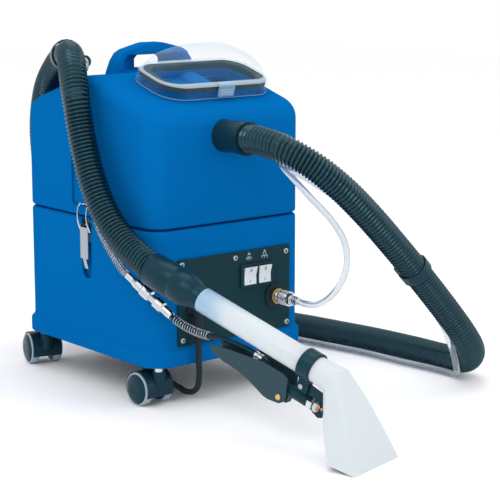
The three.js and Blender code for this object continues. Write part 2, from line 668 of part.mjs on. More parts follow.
function toolCoupling() {
  const profile = [[0, 0], [5.5, 0], [6.5, 3], [6.5, 18], [9, 20], [9, 34], [6, 36], [6, 44],
    [9.4, 46], [9.4, 62], [7.5, 64], [7.5, 76], [5.5, 84], [5.5, 97], [0, 97]];
  return turned(profile, 'y', 12);
}

function addTool() {
  part(wand, 'wand_tube', ring(WAND.outer, WAND.inner, WAND.start, WAND.end, 'y', 24), finish(WHITE, 0.35));
  part(tool, 'suction_nozzle', suctionNozzle(), finish(WHITE, 0.3));
  part(wand, 'tool_cuff', toolCuff(), finish(BLACK, 0.4));
  part(wand, 'collar_clamp', collarClamp(), finish(BLACK, 0.4));
  part(wand, 'valve_body', valveBody(), finish(RUBBER, 0.4));
  part(wand, 'trigger_lever', triggerLever(), finish(0x324e58, 0.5));
  const pin = rod(2.5, -15, 15, 'x', 12);
  part(wand, 'trigger_pin', pin, finish(BRASS, 0.3, 1), [0, TRIGGER.along, TRIGGER.down]);
  part(wand, 'valve_pipe', valvePipe(), finish(RUBBER, 0.5));
  const jet = join(rod(3, 4, 17.7, 'y', 10), rod(6, 8, 12, 'y', 10)).translate(0, 0, -49);
  part(wand, 'spray_jet', jet, finish(0xb8734a, 0.35, 1));
  const coupling = part(wand, 'tool_coupling', toolCoupling(), finish(STEEL, 0.25, 1), [0, 284, -50]);
  coupling.rotation.x = 0.2;
}

// ---------------------------------------------------------------- hoses and mains lead
const VACUUM_ROUTE = [
  [-12, -231.8, 399.5], [-12, -246, 399.5], [0, -296, 390], [27, -328, 368], [64, -349, 334],
  [106, -361, 292],
  [160, -370, 235], [212, -376, 179], [264, -381, 121], [292, -383, 88], [322, -374, 55], [344, -343, 31],
  [352, -298, 22.5], [350, -225, 22], [342, -138, 22], [328, -58, 22], [312, 25, 22], [286, 110, 22],
  [240, 185, 22], [178, 238, 22], [110, 264, 28], [52, 268, 60], [8, 262, 110], [-24, 255, 180],
  [-50, 247, 260], [-70, 236, 340], [-82, 217, 400], [-90, 188, 452], [-100, 142, 489], [-120, 84, 509],
  [-146, 34, 512], [-166, -2, 497], [-178, -28, 459], [-180, -42, 414], [-181, -56, 376], [-182, -74, 338],
  [-181, -98, 300], [-177, -128, 266], [-172, -160, 241], [-168, -180, 230.5], [-164.8, -195.9, 221.2],
];
const SOLUTION_ROUTE = [
  [84, -235, 143], [84, -252, 142], [92, -268, 143], [112, -279, 156], [131, -282, 178], [141, -281, 206],
  [139, -276, 236], [124, -264, 268], [100, -247, 300], [80, -232, 328], [64, -226, 347], [47, -238, 357],
  [42, -262, 354], [54, -284, 342], [84, -309, 316], [120, -326, 282], [160, -338, 236], [203, -346, 187],
  [245, -351, 139], [280, -354, 94], [296, -354, 64], [306, -353, 42], [313, -352, 23], [321, -346, 11],
  [329, -326, 6.5], [327, -290, 6.5], [319, -225, 6.5], [312, -138, 6.5],
  [298, -65, 6.5], [284, 8, 6.5], [260, 90, 6.5], [220, 162, 6.5],
  [166, 211, 6.5], [105, 234, 14], [52, 235, 46], [15, 229, 100], [-12, 222, 180], [-34, 214, 260],
  [-48, 206, 340], [-52, 197, 400], [-54, 186, 434], [-58, 166, 462], [-68, 130, 487], [-88, 84, 498],
  [-110, 48, 496], [-127, 22, 492], [-145, 14, 481], [-154, 4, 460], [-160, -8, 414], [-166, -19, 376],
  [-171, -40, 338], [-176, -64, 300], [-179, -89, 264], [-179, -118, 234], [-177, -136, 216],
  [-175.4, -151.3, 205],
];
const MAINS_ROUTE = [
  [-76, -191.8, 102.7], [-76, -192, 84], [-75.5, -192, 64], [-73, -189, 42], [-69, -180, 24], [-65, -164, 12],
  [-61, -140, 6], [-54, -115, 5], [-40, -50, 4.9], [-20, 30, 4.9], [0, 110, 4.9], [14, 190, 4.9],
  [22, 262, 4.9], [40, 318, 4.9], [62, 352, 4.9],
];

function smooth(route) {
  return new THREE.CatmullRomCurve3(route.map((p) => new THREE.Vector3(...p)), false, 'centripetal');
}

// The point of a curve that lies nearest to a place and most squarely beside it.
function pointBeside(curve, centre, along) {
  const farness = (point) => {
    const offset = point.clone().sub(centre);
    return offset.length() + Math.abs(offset.dot(along));
  };
  const points = Array.from({ length: 1001 }, (_, i) => curve.getPointAt(i / 1000));
  return points.reduce((best, point) => (farness(point) < farness(best) ? point : best));
}

// A clip that grips the vacuum hose and holds the solution hose beside it.
function hoseClip(fraction) {
  const large = smooth(VACUUM_ROUTE);
  const small = smooth(SOLUTION_ROUTE);
  const centre = large.getPointAt(fraction);
  const along = large.getTangentAt(fraction);
  const side = pointBeside(small, centre, along).clone().sub(centre);
  side.addScaledVector(along, -side.dot(along));
  const reach = side.length();
  side.normalize();
  const third = along.clone().cross(side);
  const outer = HOSE.vacuum + 3;
  const band = rod(outer, -8, 8, 'z', 20);
  const loop = rod(HOSE.solution + 5, -6, 6, 'z', 14).translate(reach, 0, 0);
  const web = box([HOSE.vacuum, -5, -6], [reach, 5, 6]);
  const largeBore = rod(HOSE.vacuum + 0.9, -20, 20, 'z', 20);
  const smallBore = rod(HOSE.solution + 2.4, -20, 20, 'z', 14).translate(reach, 0, 0);
  const clip = cut(join(band, loop, web), largeBore, smallBore);
  const frame = new THREE.Matrix4().makeBasis(side, third, along).setPosition(centre);
  return clip.applyMatrix4(frame);
}

function mainsPlug() {
  const { radius, length } = PLUG;
  const profile = [[0, 0], [5.5, 0], [6.5, -22], [12, -28], [radius, -34],
    [radius, 3 - length], [radius - 2, -length], [0, -length]];
  const pins = [-1, 1].map((side) => rod(2.4, -length - 19, -length + 4, 'y', 8).translate(9.5 * side, 0, 0));
  return join(turned(profile.reverse(), 'y', 16), ...pins);
}

function addCords() {
  part(machine, 'vacuum_hose', routed(VACUUM_ROUTE, HOSE.vacuum, 10, 64), finish(RUBBER, 0.5));
  part(machine, 'solution_hose', routed(SOLUTION_ROUTE, HOSE.solution, 8, 60), finish(CLEAR, 0.2));
  part(machine, 'hose_clip_a', hoseClip(0.15), finish(RUBBER, 0.5));
  part(machine, 'hose_clip_b', hoseClip(0.81), finish(RUBBER, 0.5));
  part(machine, 'power_cord', routed(MAINS_ROUTE, HOSE.mains, 8, 30), finish(0x36474d, 0.6));
  const { turnRadius, halfWidth, height, x, y } = COIL;
  const coil = ring(turnRadius + halfWidth, turnRadius - halfWidth, 0.3, height, 'z', 28);
  part(machine, 'power_cord_coil', coil, finish(0x36474d, 0.6), [x, y, 0]);
  part(machine, 'power_plug', mainsPlug(), finish(RUBBER, 0.5), [PLUG.x, PLUG.y, PLUG.z]);
}

part(machine, 'lower_body', lowerBody(), finish(BLUE, 0.45));
part(machine, 'base_plate', basePlate(), finish(BLACK, 0.6));
part(machine, 'solution_tank', solutionTank(), finish(WHITE, 0.5));
part(machine, 'vacuum_motor', vacuumMotor(), finish(BLACK, 0.5));
part(machine, 'pump', pump(), finish(BLACK, 0.5));
addControls();
addTank();
addLatch(-1);
addLatch(1);
casterPlaces().forEach(addCaster);
addTool();
addCords();

// The origin is the middle of the machine's footprint on the floor, with the hand tool counted
// and the free hoses and lead left out.
const FREE = ['vacuum_hose', 'solution_hose', 'hose_clip_a', 'hose_clip_b',
  'power_cord', 'power_cord_coil', 'power_plug'];
const footprint = new THREE.Box3();
machine.updateMatrixWorld(true);
machine.traverse((node) => {
  if (node.isMesh && !FREE.includes(node.name)) footprint.expandByObject(node, true);
});
const middle = footprint.getCenter(new THREE.Vector3());
machine.position.set(-middle.x, -middle.y, -footprint.min.z);

const group = new THREE.Group();
group.add(machine);

export default group;
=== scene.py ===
# Carpet cleaner: the detailed visual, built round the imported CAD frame. Lengths are written in
# millimetres in the machine's own axes and converted by at() and MM.
import json
import math

import bmesh
import bpy
from mathutils import Matrix, Vector


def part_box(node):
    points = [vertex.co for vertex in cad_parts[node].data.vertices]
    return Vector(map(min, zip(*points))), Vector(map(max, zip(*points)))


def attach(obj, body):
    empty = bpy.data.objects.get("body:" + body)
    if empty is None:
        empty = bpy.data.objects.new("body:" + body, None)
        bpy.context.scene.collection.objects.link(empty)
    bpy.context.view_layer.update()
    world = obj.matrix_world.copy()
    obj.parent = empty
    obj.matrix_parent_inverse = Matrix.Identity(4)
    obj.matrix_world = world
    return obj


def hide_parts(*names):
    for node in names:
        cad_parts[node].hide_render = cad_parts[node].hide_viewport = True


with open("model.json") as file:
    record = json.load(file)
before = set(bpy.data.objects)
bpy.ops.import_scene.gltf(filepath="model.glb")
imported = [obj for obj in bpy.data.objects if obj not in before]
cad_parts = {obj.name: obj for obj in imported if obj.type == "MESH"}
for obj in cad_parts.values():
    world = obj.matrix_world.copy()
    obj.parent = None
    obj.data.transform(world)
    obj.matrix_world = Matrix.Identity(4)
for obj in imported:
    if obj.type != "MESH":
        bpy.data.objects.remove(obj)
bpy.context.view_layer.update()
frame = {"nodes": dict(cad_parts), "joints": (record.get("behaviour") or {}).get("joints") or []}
MM = 0.001
BODY_FOOT = 61
body_lo, body_hi = (Vector(corner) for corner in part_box("lower_body"))
ORIGIN = Vector(((body_lo.x + body_hi.x) / 2, (body_lo.y + body_hi.y) / 2, body_lo.z - BODY_FOOT * MM))


def at(x, y, z):
    return ORIGIN + Vector((x, y, z)) * MM


# ------------------------------------------------------------------ materials
def linear(value):
    value /= 255
    return value / 12.92 if value <= 0.04045 else ((value + 0.055) / 1.055) ** 2.4


def material(name, rgb, rough=0.4, metal=0.0, grain=0.0, grain_scale=300.0, **sockets):
    """A principled surface with procedural grain in its roughness and in its relief."""
    mat = bpy.data.materials.new(name)
    mat.use_nodes = True
    nodes, links = mat.node_tree.nodes, mat.node_tree.links
    shader = nodes["Principled BSDF"]
    shader.inputs["Base Color"].default_value = (*[linear(c) for c in rgb], 1)
    shader.inputs["Metallic"].default_value = metal
    shader.inputs["Roughness"].default_value = rough
    for key, value in sockets.items():
        shader.inputs[key.replace("_", " ")].default_value = value
    coords = nodes.new("ShaderNodeTexCoord")
    noise = nodes.new("ShaderNodeTexNoise")
    noise.inputs["Scale"].default_value = grain_scale
    noise.inputs["Detail"].default_value = 3
    links.new(coords.outputs["Object"], noise.inputs["Vector"])
    spread = nodes.new("ShaderNodeMapRange")
    spread.inputs["To Min"].default_value = max(0.02, rough - 0.06)
    spread.inputs["To Max"].default_value = min(1.0, rough + 0.06)
    links.new(noise.outputs["Fac"], spread.inputs["Value"])
    links.new(spread.outputs["Result"], shader.inputs["Roughness"])
    if grain:
        bump = nodes.new("ShaderNodeBump")
        bump.inputs["Strength"].default_value = grain
        bump.inputs["Distance"].default_value = 0.0004
        links.new(noise.outputs["Fac"], bump.inputs["Height"])
        links.new(bump.outputs["Normal"], shader.inputs["Normal"])
    return mat


def glassy(name, rgb, facing, grazing):
    """Thin clear plastic: nearly see-through face on and paler where it is seen at a slant."""
    mat = material(name, rgb, 0.06, Specular_IOR_Level=0.3)
    nodes, links = mat.node_tree.nodes, mat.node_tree.links
    slant = nodes.new("ShaderNodeLayerWeight")
    slant.inputs["Blend"].default_value = 0.15
    veil = nodes.new("ShaderNodeMapRange")
    veil.inputs["To Min"].default_value = facing
    veil.inputs["To Max"].default_value = grazing
    links.new(slant.outputs["Facing"], veil.inputs["Value"])
    links.new(veil.outputs["Result"], nodes["Principled BSDF"].inputs["Alpha"])
    return mat


TEAL_SHEEN = (0.45, 0.85, 1.0, 1.0)
BLUE = material("blue_moulded", (3, 98, 166), 0.55, grain=0.12, grain_scale=900, Specular_IOR_Level=0.0)
BLACK = material("black_moulded", (14, 44, 56), 0.3, grain=0.1, grain_scale=1200, Specular_IOR_Level=0.25,
                 Specular_Tint=TEAL_SHEEN)
LEVER = material("lever_black", (34, 62, 72), 0.42, grain=0.1, grain_scale=1200, Specular_IOR_Level=0.25)
PANEL = material("panel_laminate", (20, 50, 58), 0.45, grain=0.08, grain_scale=1500,
                 Specular_IOR_Level=0.12, Specular_Tint=TEAL_SHEEN)
HOSE = material("hose_ribbed", (8, 36, 46), 0.22, grain=0.05, grain_scale=800, Specular_IOR_Level=0.6,
                Specular_Tint=TEAL_SHEEN)
RUBBER = material("rubber", (24, 40, 46), 0.6, grain=0.15, grain_scale=1400, Specular_IOR_Level=0.2)
GASKET = material("gasket", (40, 62, 70), 0.7, grain=0.15, grain_scale=900, Specular_IOR_Level=0.2)
TREAD = material("tread", (150, 166, 180), 0.55, grain=0.15, grain_scale=900, Specular_IOR_Level=0.2)
MILKY = material("milky_plastic", (200, 207, 212), 0.3, grain=0.03, grain_scale=500, Specular_IOR_Level=0.2,
                 Subsurface_Weight=0.2, Subsurface_Scale=0.01)
TUBE_MILKY = material("milky_tube", (200, 207, 212), 0.25, grain=0.03, grain_scale=500,
                      Specular_IOR_Level=0.25, Subsurface_Weight=0.2, Subsurface_Scale=0.01)
WHITE = material("switch_white", (212, 220, 226), 0.3, grain=0.03, Specular_IOR_Level=0.3)
CHROME = material("chrome", (205, 210, 214), 0.16, 1.0, grain=0.02)
STEEL = material("brushed_steel", (166, 174, 180), 0.3, 1.0, grain=0.1, grain_scale=700)
BRASS = material("brass", (202, 174, 118), 0.28, 1.0, grain=0.04)
COPPER = material("copper", (178, 122, 92), 0.32, 1.0, grain=0.04)
INK = material("ink_pale", (176, 190, 196), 0.5, Specular_IOR_Level=0.1)
# Dark ink of the rocker marks, and painted shade in the panel screws' sockets.
DARK_PRINT_AND_SHADE = material("dark_inside", (14, 26, 32), 0.7, Specular_IOR_Level=0.1)
CLEAR = glassy("clear_skirt", (190, 218, 236), 0.0, 0.3)
CLEAR_HUMP = glassy("clear_hump", (178, 216, 240), 0.02, 0.45)
CLEAR_INSIDE = glassy("clear_inside", (206, 226, 238), 0.0, 0.05)
CLEAR_LEDGE = glassy("clear_ledge", (206, 224, 236), 0.4, 0.8)
CLEAR_CLIP = glassy("clear_clip", (160, 200, 226), 0.3, 0.8)
BRACKET = material("dark_steel", (92, 106, 114), 0.4, 1.0, grain=0.1, grain_scale=700)
TUBING = material("clear_tubing", (226, 234, 240), 0.16, grain=0.2, grain_scale=700,
                  Transmission_Weight=0.8, IOR=1.33)
TANK_MILKY = material("tank_polyethylene", (200, 208, 212), 0.5, grain=0.05)


# ------------------------------------------------------------------ mesh helpers
def smooth(obj, angle=35):
    for face in obj.data.polygons:
        face.use_smooth = True
    obj.data.set_sharp_from_angle(angle=math.radians(angle))


def piece(name, verts, faces, mat, body="machine", angle=35):
    mesh = bpy.data.meshes.new(name)
    mesh.from_pydata([tuple(v) for v in verts], [], faces)
    mesh.validate()
    bm = bmesh.new()
    bm.from_mesh(mesh)
    bmesh.ops.recalc_face_normals(bm, faces=bm.faces)
    bm.to_mesh(mesh)
    bm.free()
    obj = bpy.data.objects.new(name, mesh)
    bpy.context.scene.collection.objects.link(obj)
    mesh.materials.append(mat)
    smooth(obj, angle)
    if body:
        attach(obj, body)
    return obj


def rings_mesh(rings, closed=False):
    """Vertices and faces of a skin over rings of equal length, capped unless the last meets the first."""
    size = len(rings[0])
    verts = [v for ring in rings for v in ring]
    faces = []
    spans = len(rings) if closed else len(rings) - 1
    for k in range(spans):
        low, high = k * size, ((k + 1) % len(rings)) * size
        for i in range(size):
            j = (i + 1) % size
            faces.append((low + i, low + j, high + j, high + i))
    if not closed:
        faces.append(tuple(reversed(range(size))))
        faces.append(tuple(range((len(rings) - 1) * size, len(rings) * size)))
    return verts, faces


def lathe(profile, frame_matrix, steps=40):
    """Profile [(radius, height)] in mm turned about the matrix's Z, and closed if its ends meet."""
    rings = []
    for r, h in profile:
        ring = []
        for i in range(steps):
            a = 2 * math.pi * i / steps
            point = Vector((max(r, 0.01) * math.cos(a), max(r, 0.01) * math.sin(a), h)) * MM
            ring.append(frame_matrix @ point)
        rings.append(ring)
    if profile[0] == profile[-1]:
        return rings_mesh(rings[:-1], closed=True)
    return rings_mesh(rings)


def aim(point, direction):
    """Frame at point with Z along direction."""
    z = Vector(direction).normalized()
    x = Vector((0, 0, 1)) if abs(z.z) < 0.9 else Vector((1, 0, 0))
    y = z.cross(x).normalized()
    x = y.cross(z).normalized()
    turn = Matrix((x, y, z)).transposed().to_4x4()
    return Matrix.Translation(point) @ turn


def turned(name, profile, point, direction, mat, body="machine", steps=40):
    verts, faces = lathe(profile, aim(point, direction), steps)
    return piece(name, verts, faces, mat, body)


def half_outline(half_x, half_y, corner, stops=(), steps=8):
    """Left half of a rectangle with round corners; stops are further points on its straight side."""
    turns = [math.pi / 2 * i / steps for i in range(steps + 1)]
    flat_x, flat_y = half_x - corner, half_y - corner
    points = [(-flat_x - corner * math.sin(a), -flat_y - corner * math.cos(a)) for a in turns]
    points += [(-half_x, y) for y in stops]
    points += [(-flat_x - corner * math.sin(a), flat_y + corner * math.cos(a)) for a in reversed(turns)]
    return points


def skin(layers):
    """Closed skin over mirrored outlines; each layer lists the left side's points."""
    half = len(layers[0])
    verts = []
    for layer in layers:
        verts += [tuple(p) for p in layer] + [(-p[0], p[1], p[2]) for p in reversed(layer)]
    count = 2 * half
    faces = []
    for k in range(len(layers) - 1):
        for i in range(count):
            a, b = k * count + i, k * count + (i + 1) % count
            faces.append((a, b, b + count, a + count))
    top = (len(layers) - 1) * count
    for i in range(half - 1):
        mirror = count - 1 - i
        faces.append((i, mirror, mirror - 1, i + 1))
        faces.append((top + i, top + i + 1, top + mirror - 1, top + mirror))
    return verts, faces


def box_mesh(low, high):
    (x0, y0, z0), (x1, y1, z1) = low, high
    verts = [(x, y, z) for z in (z0, z1) for y in (y0, y1) for x in (x0, x1)]
    faces = [(0, 2, 3, 1), (4, 5, 7, 6), (0, 1, 5, 4), (2, 6, 7, 3), (0, 4, 6, 2), (1, 3, 7, 5)]
    return verts, faces


def prism(outline, x):
    """The outline's (y, z) points drawn out between two places on X."""
    count = len(outline)
    verts = [(place, y, z) for place in x for y, z in outline]
    faces = [tuple(range(count)), tuple(reversed(range(count, 2 * count)))]
    faces += [(i, (i + 1) % count, (i + 1) % count + count, i + count) for i in range(count)]
    return verts, faces


def placed(verts):
    return [at(*v) for v in verts]


def cutters(target, shapes):
    """Cuts each (verts, faces), in mm, out of the target."""
    for i, (verts, faces) in enumerate(shapes):
        tool = piece(f"tool_{i}", placed(verts), faces, BLACK, body=None)
        mod = target.modifiers.new("cut", "BOOLEAN")
        mod.operation, mod.solver, mod.object = "DIFFERENCE", "EXACT", tool
        bpy.context.view_layer.objects.active = target
        bpy.context.view_layer.update()
        depsgraph = bpy.context.evaluated_depsgraph_get()
        fresh = bpy.data.meshes.new_from_object(target.evaluated_get(depsgraph))
        target.modifiers.clear()
        target.data = fresh
        bpy.data.objects.remove(tool, do_unlink=True)
    smooth(target)


def rounded(obj, width, segments=2):
    mod = obj.modifiers.new("edges", "BEVEL")
    mod.width, mod.segments, mod.limit_method = width * MM, segments, "ANGLE"
    mod.angle_limit = math.radians(40)
    mod.harden_normals = True


def catmull(points, per_span=14):
    """Centripetal curve through the points, as the solids' tubes follow it."""
    pts = [Vector(p) for p in points]
    ext = [pts[0] * 2 - pts[1], *pts, pts[-1] * 2 - pts[-2]]
    out = []
    for i in range(1, len(ext) - 2):
        p0, p1, p2, p3 = ext[i - 1:i + 3]
        d0, d1, d2 = (math.sqrt((b - a).length) for a, b in ((p0, p1), (p1, p2), (p2, p3)))
        t1 = ((p1 - p0) / d0 - (p2 - p0) / (d0 + d1) + (p2 - p1) / d1) * d1
        t2 = ((p2 - p1) / d1 - (p3 - p1) / (d1 + d2) + (p3 - p2) / d2) * d1
        for k in range(per_span):
            t = k / per_span
            out.append((2 * t**3 - 3 * t**2 + 1) * p1 + (t**3 - 2 * t**2 + t) * t1
                       + (3 * t**2 - 2 * t**3) * p2 + (t**3 - t**2) * t2)
    return out + [pts[-1]]


def measure(path):
    total = [0.0]
    for a, b in zip(path, path[1:]):
        total.append(total[-1] + (b - a).length)
    return total


def even(path, step):
    """The path at equal steps of about that length."""
    run = measure(path)
    count = max(2, round(run[-1] / step))
    out, k = [], 0
    for i in range(count + 1):
        want = run[-1] * i / count
        while k < len(run) - 2 and run[k + 1] < want:
            k += 1
        span = run[k + 1] - run[k]
        out.append(path[k].lerp(path[k + 1], (want - run[k]) / span if span else 0))
    return out


def across(path):
    """For each point of the path, two unit vectors square to it, carried along without twist."""
    last = len(path) - 1
    normal = None
    for i in range(last + 1):
        tangent = (path[min(i + 1, last)] - path[max(i - 1, 0)]).normalized()
        if normal is None:
            normal = tangent.orthogonal().normalized()
        normal = (normal - tangent * normal.dot(tangent)).normalized()
        yield normal, tangent.cross(normal)


def sweep(path, radius, sides):
    """Rings along the path; radius is a number or a function of the distance along, in mm."""
    rings = []
    for point, run, (normal, side) in zip(path, measure(path), across(path)):
        r = radius(run) if callable(radius) else radius
        ring = []
        for k in range(sides):
            a = 2 * math.pi * k / sides
            ring.append(point + (normal * math.cos(a) + side * math.sin(a)) * r)
        rings.append(ring)
    return rings


def tube(name, path, radius, mat, sides, body="machine", step=2.0):
    rings = sweep(even([Vector(p) for p in path], step), radius, sides)
    verts, faces = rings_mesh(rings)
    return piece(name, placed(verts), faces, mat, body, 50)


# ------------------------------------------------------------------ body shell
BODY_X, BODY_Y, WALL, WALL_CORNER = 145, 175, 4, 30
SEAM = 261.5
WINDOW = ((-97, -190, 96), (108.5, -166, 214.5))
RECESS_HALF, RECESS_CENTRE = 13, 184


def layered(half_x, half_y, corner, layers, stops=()):
    """Skin over layers of (height, inset); a height may be a function of y."""
    out = []
    for z, inset in layers:
        outline = half_outline(half_x - inset, half_y - inset, max(corner - inset, 3), stops)
        out.append([(x, y, z(y) if callable(z) else z) for x, y in outline])
    return skin(out)


def lower_body():
    """Open shell with a flared skirt, a window for the panel and a closed recess for each latch."""
    skirt = [(BODY_FOOT, -4.8), (61.6, -5.6), (63, -6), (81, -6), (83, -5.4), (85, -3.6), (87, -1.6),
             (89.5, -0.4)]
    wall_and_lip = [(92, 0), (SEAM, 0), (263, 0.5), (264.6, 1.6), (265.5, 3.4)]
    verts, faces = layered(BODY_X, BODY_Y, WALL_CORNER, skirt + wall_and_lip)
    shell = piece("body_shell", placed(verts), faces, BLUE)
    inside = layered(BODY_X - WALL, BODY_Y - WALL, WALL_CORNER - WALL, [(BODY_FOOT - 6, 0), (SEAM, 0)])
    recesses = [latch_recess(sorted([side * 137, side * 160])) for side in (-1, 1)]
    cutters(shell, [inside, *recesses, box_mesh(*WINDOW)])
    for side in (-1, 1):
        x = sorted([side * 133, side * 136.9])
        verts, faces = box_mesh((x[0], -17, 166), (x[1], 17, 264))
        piece(f"recess_back_{side + 1}", placed(verts), faces, BLUE)
    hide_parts("lower_body")


def latch_recess(x):
    """A recess with a round lower end, open at the seam."""
    outline = [(RECESS_HALF, 300), (-RECESS_HALF, 300), (-RECESS_HALF, RECESS_CENTRE)]
    for k in range(1, 10):
        a = math.pi * k / 10
        outline.append((-RECESS_HALF * math.cos(a), RECESS_CENTRE - RECESS_HALF * math.sin(a)))
    outline += [(RECESS_HALF, RECESS_CENTRE)]
    return prism(outline, x)


# ------------------------------------------------------------------ recovery tank
CREST, CREST_HALF, EAVE_FRONT, EAVE_REAR = 483, 26, 438, 434
SLOPE = math.atan2(CREST - EAVE_FRONT, BODY_Y - CREST_HALF)
DOME_X, DOME_Y = 14, -86


def roof(y):
    if y < -CREST_HALF:
        return EAVE_FRONT + (CREST - EAVE_FRONT) * (y + BODY_Y) / (BODY_Y - CREST_HALF)
    if y > CREST_HALF:
        return EAVE_REAR + (CREST - EAVE_REAR) * (BODY_Y - y) / (BODY_Y - CREST_HALF)
    return CREST


def soft_roof(y):
    """The roof with its crest rounded over."""
    if abs(y) >= 150:
        return roof(y)
    nearby = range(-16, 17, 4)
    return sum(roof(max(-BODY_Y, min(BODY_Y, y + d))) for d in nearby) / len(nearby)


SIDE_STOPS = [-130, -100, -70, -50, -38, -26, -14, 0, 14, 26, 38, 50, 70, 100, 130]


def tank_layers(shrink, radius, steps, bottom):
    """The tank's form drawn in by shrink, its roof edge rounded to the radius."""
    layers = list(bottom)
    for i in range(steps + 1):
        a = math.pi / 2 * i / steps
        drop = radius * (1 - math.sin(a))
        layers.append((lambda y, drop=drop: soft_roof(y) - shrink - drop, radius * (1 - math.cos(a))))
    return layered(BODY_X - shrink, BODY_Y - shrink, WALL_CORNER - shrink / 2, layers, SIDE_STOPS)


def on_slope(point):
    """From the lid's sloping frame to machine millimetres."""
    x, v, n = point
    c, s = math.cos(SLOPE), math.sin(SLOPE)
    return (x + DOME_X, DOME_Y + v * c - n * s, roof(DOME_Y) + v * s + n * c)


def slope_block(half_x, half_v, corner, layers, shift=0):
    verts, faces = layered(half_x, half_v, corner, layers)
    return [on_slope((x + shift, v, n)) for x, v, n in verts], faces


def fill_hole():
    """The open half of the mouth."""
    return slope_block(29, 35, 20, [(-40, 0), (40, 0)], shift=53)


def splash_rib():
    """The moulded rib across the mouth, rounded on top and at both ends."""
    rings = []
    for v in (-42, -38, -30, -15, 0, 15, 30, 38, 42):
        swell = 1 - 0.12 * (abs(v) / 42) ** 3
        turns = [math.pi * k / 16 for k in range(17)]
        arc = [(4 + 20 * math.cos(a), 12 * swell * math.sin(a) - 2) for a in turns]
        arc += [(-16, -6), (24, -6)]
        rings.append([on_slope((x, v, n)) for x, n in arc])
    verts, faces = rings_mesh(rings)
    rib = piece("tank_splash_rib", placed(verts), faces, BLUE)
    cutters(rib, [fill_hole()])


def groove(side):
    """A shallow groove up a side wall, with a rounded foot."""
    x = sorted([side * 141, side * 170])
    outline = [(38, 530), (-38, 530), (-38, 289), (-36, 285), (-32, 283), (32, 283), (36, 285), (38, 289)]
    return prism(outline, x)


def recovery_tank():
    """Hollow tank with its inlet hole, mouth and collar."""
    bottom = [(268.5, 3.4), (269.4, 1.6), (271, 0.5), (272.5, 0)]
    verts, faces = tank_layers(0, 25, 8, bottom)
    shell = piece("tank_shell", placed(verts), faces, BLUE)
    verts, faces = lathe([(24.4, -30), (24.4, 30)], aim(Vector((-12, -BODY_Y, 399.5)) * MM, (0, 1, 0)), 32)
    inlet_hole = ([tuple(v / MM) for v in verts], faces)
    hollow = tank_layers(8, 17, 4, [(276.5, 0)])
    cutters(shell, [hollow, groove(-1), groove(1), fill_hole(), inlet_hole])
    collar = slope_block(92, 47, 37, [(-6, 0), (10.5, 0), (11.6, 0.4), (12, 1.4)])
    rim = piece("tank_collar", placed(collar[0]), collar[1], BLUE)
    cutters(rim, [slope_block(85, 40, 30, [(-40, 0), (40, 0)])])
    splash_rib()
    handle()
    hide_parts("recovery_tank")


def handle():
    """An arch across the tank with a tapering finger gap."""
    arch = [(-82, 470), (-79, 484), (-72, 500), (-64, 511), (-54, 516.5), (-22, 524.5), (-14, 526)]
    arch += [(14, 526), (22, 524.5), (54, 516.5), (64, 511), (72, 500), (79, 484), (82, 470)]
    depth = [(34, 2.5), (35, 0.8), (37, 0), (57, 0), (59, 0.8), (60, 2.5)]
    rings = []
    for y, inset in depth:
        ring = []
        for x, z in arch:
            shrink = 1 - inset / 80
            ring.append((15 + x * shrink, y, z - inset * (1 if z > 480 else 0)))
        rings.append(ring)
    verts, faces = rings_mesh(rings)
    grip = piece("tank_handle", placed(verts), faces, BLUE)
    gap, corner = [], 6
    for y, half, low, high in ((33, 61, 483, 508), (47, 42, 485, 507), (61, 21, 487, 506)):
        outline = [(-half, low), (half, low), (half, high - corner), (half - corner, high)]
        outline += [(-half + corner, high), (-half, high - corner)]
        gap.append([(15 + x, y, z) for x, z in outline])
    cutters(grip, [rings_mesh(gap)])
    rounded(grip, 1.6, 3)


# ------------------------------------------------------------------ dome lid
LID_X, LID_V, LID_CORNER, LEDGE, HUMP_RISE = 105, 57, 40, 24, 44.6
CLEAR_ZONES = (CLEAR, CLEAR_LEDGE, CLEAR_HUMP, CLEAR_INSIDE)
IN_SKIRT, IN_LEDGE, IN_HUMP, ON_INSIDE = range(4)


def dome_shape(shrink):
    """Layers of the lid: skirt, flat rim and a broad hump."""
    skirt = [(3, 0), (4.2, 0.1), (12, 0.7), (19, 1.2), (21.4, 1.7), (22.8, 2.4), (23.7, 3.6), (LEDGE, 5.0)]
    rings = []
    for n, inset in skirt:
        half_x, half_v = LID_X - inset - shrink, LID_V - inset - shrink
        outline = half_outline(half_x, half_v, LID_CORNER - inset * 0.6, (), 12)
        rings.append([(x, v, n - shrink * 0.9) for x, v in outline])
    steps = 22
    for i in range(steps):
        t = i / (steps - 0.7)
        height = LEDGE + HUMP_RISE * math.sin(t * math.pi / 2)
        wide = math.cos(t * math.pi / 2) ** 1.1
        half_x, half_v = (99 - shrink) * wide, (43 - shrink) * wide
        round_to = min(half_v, 30 * wide + half_v * (1 - wide)) - 0.01
        outline = half_outline(half_x, half_v, round_to, (), 12)
        rings.append([(x, v, height - shrink) for x, v in outline])
    return rings


def dome_zone(span, outer_count):
    """Which clear material the span above a layer has."""
    if span >= outer_count:
        return ON_INSIDE
    if span == 0 or 4 <= span < 8:
        return IN_LEDGE
    return IN_SKIRT if span < 4 else IN_HUMP


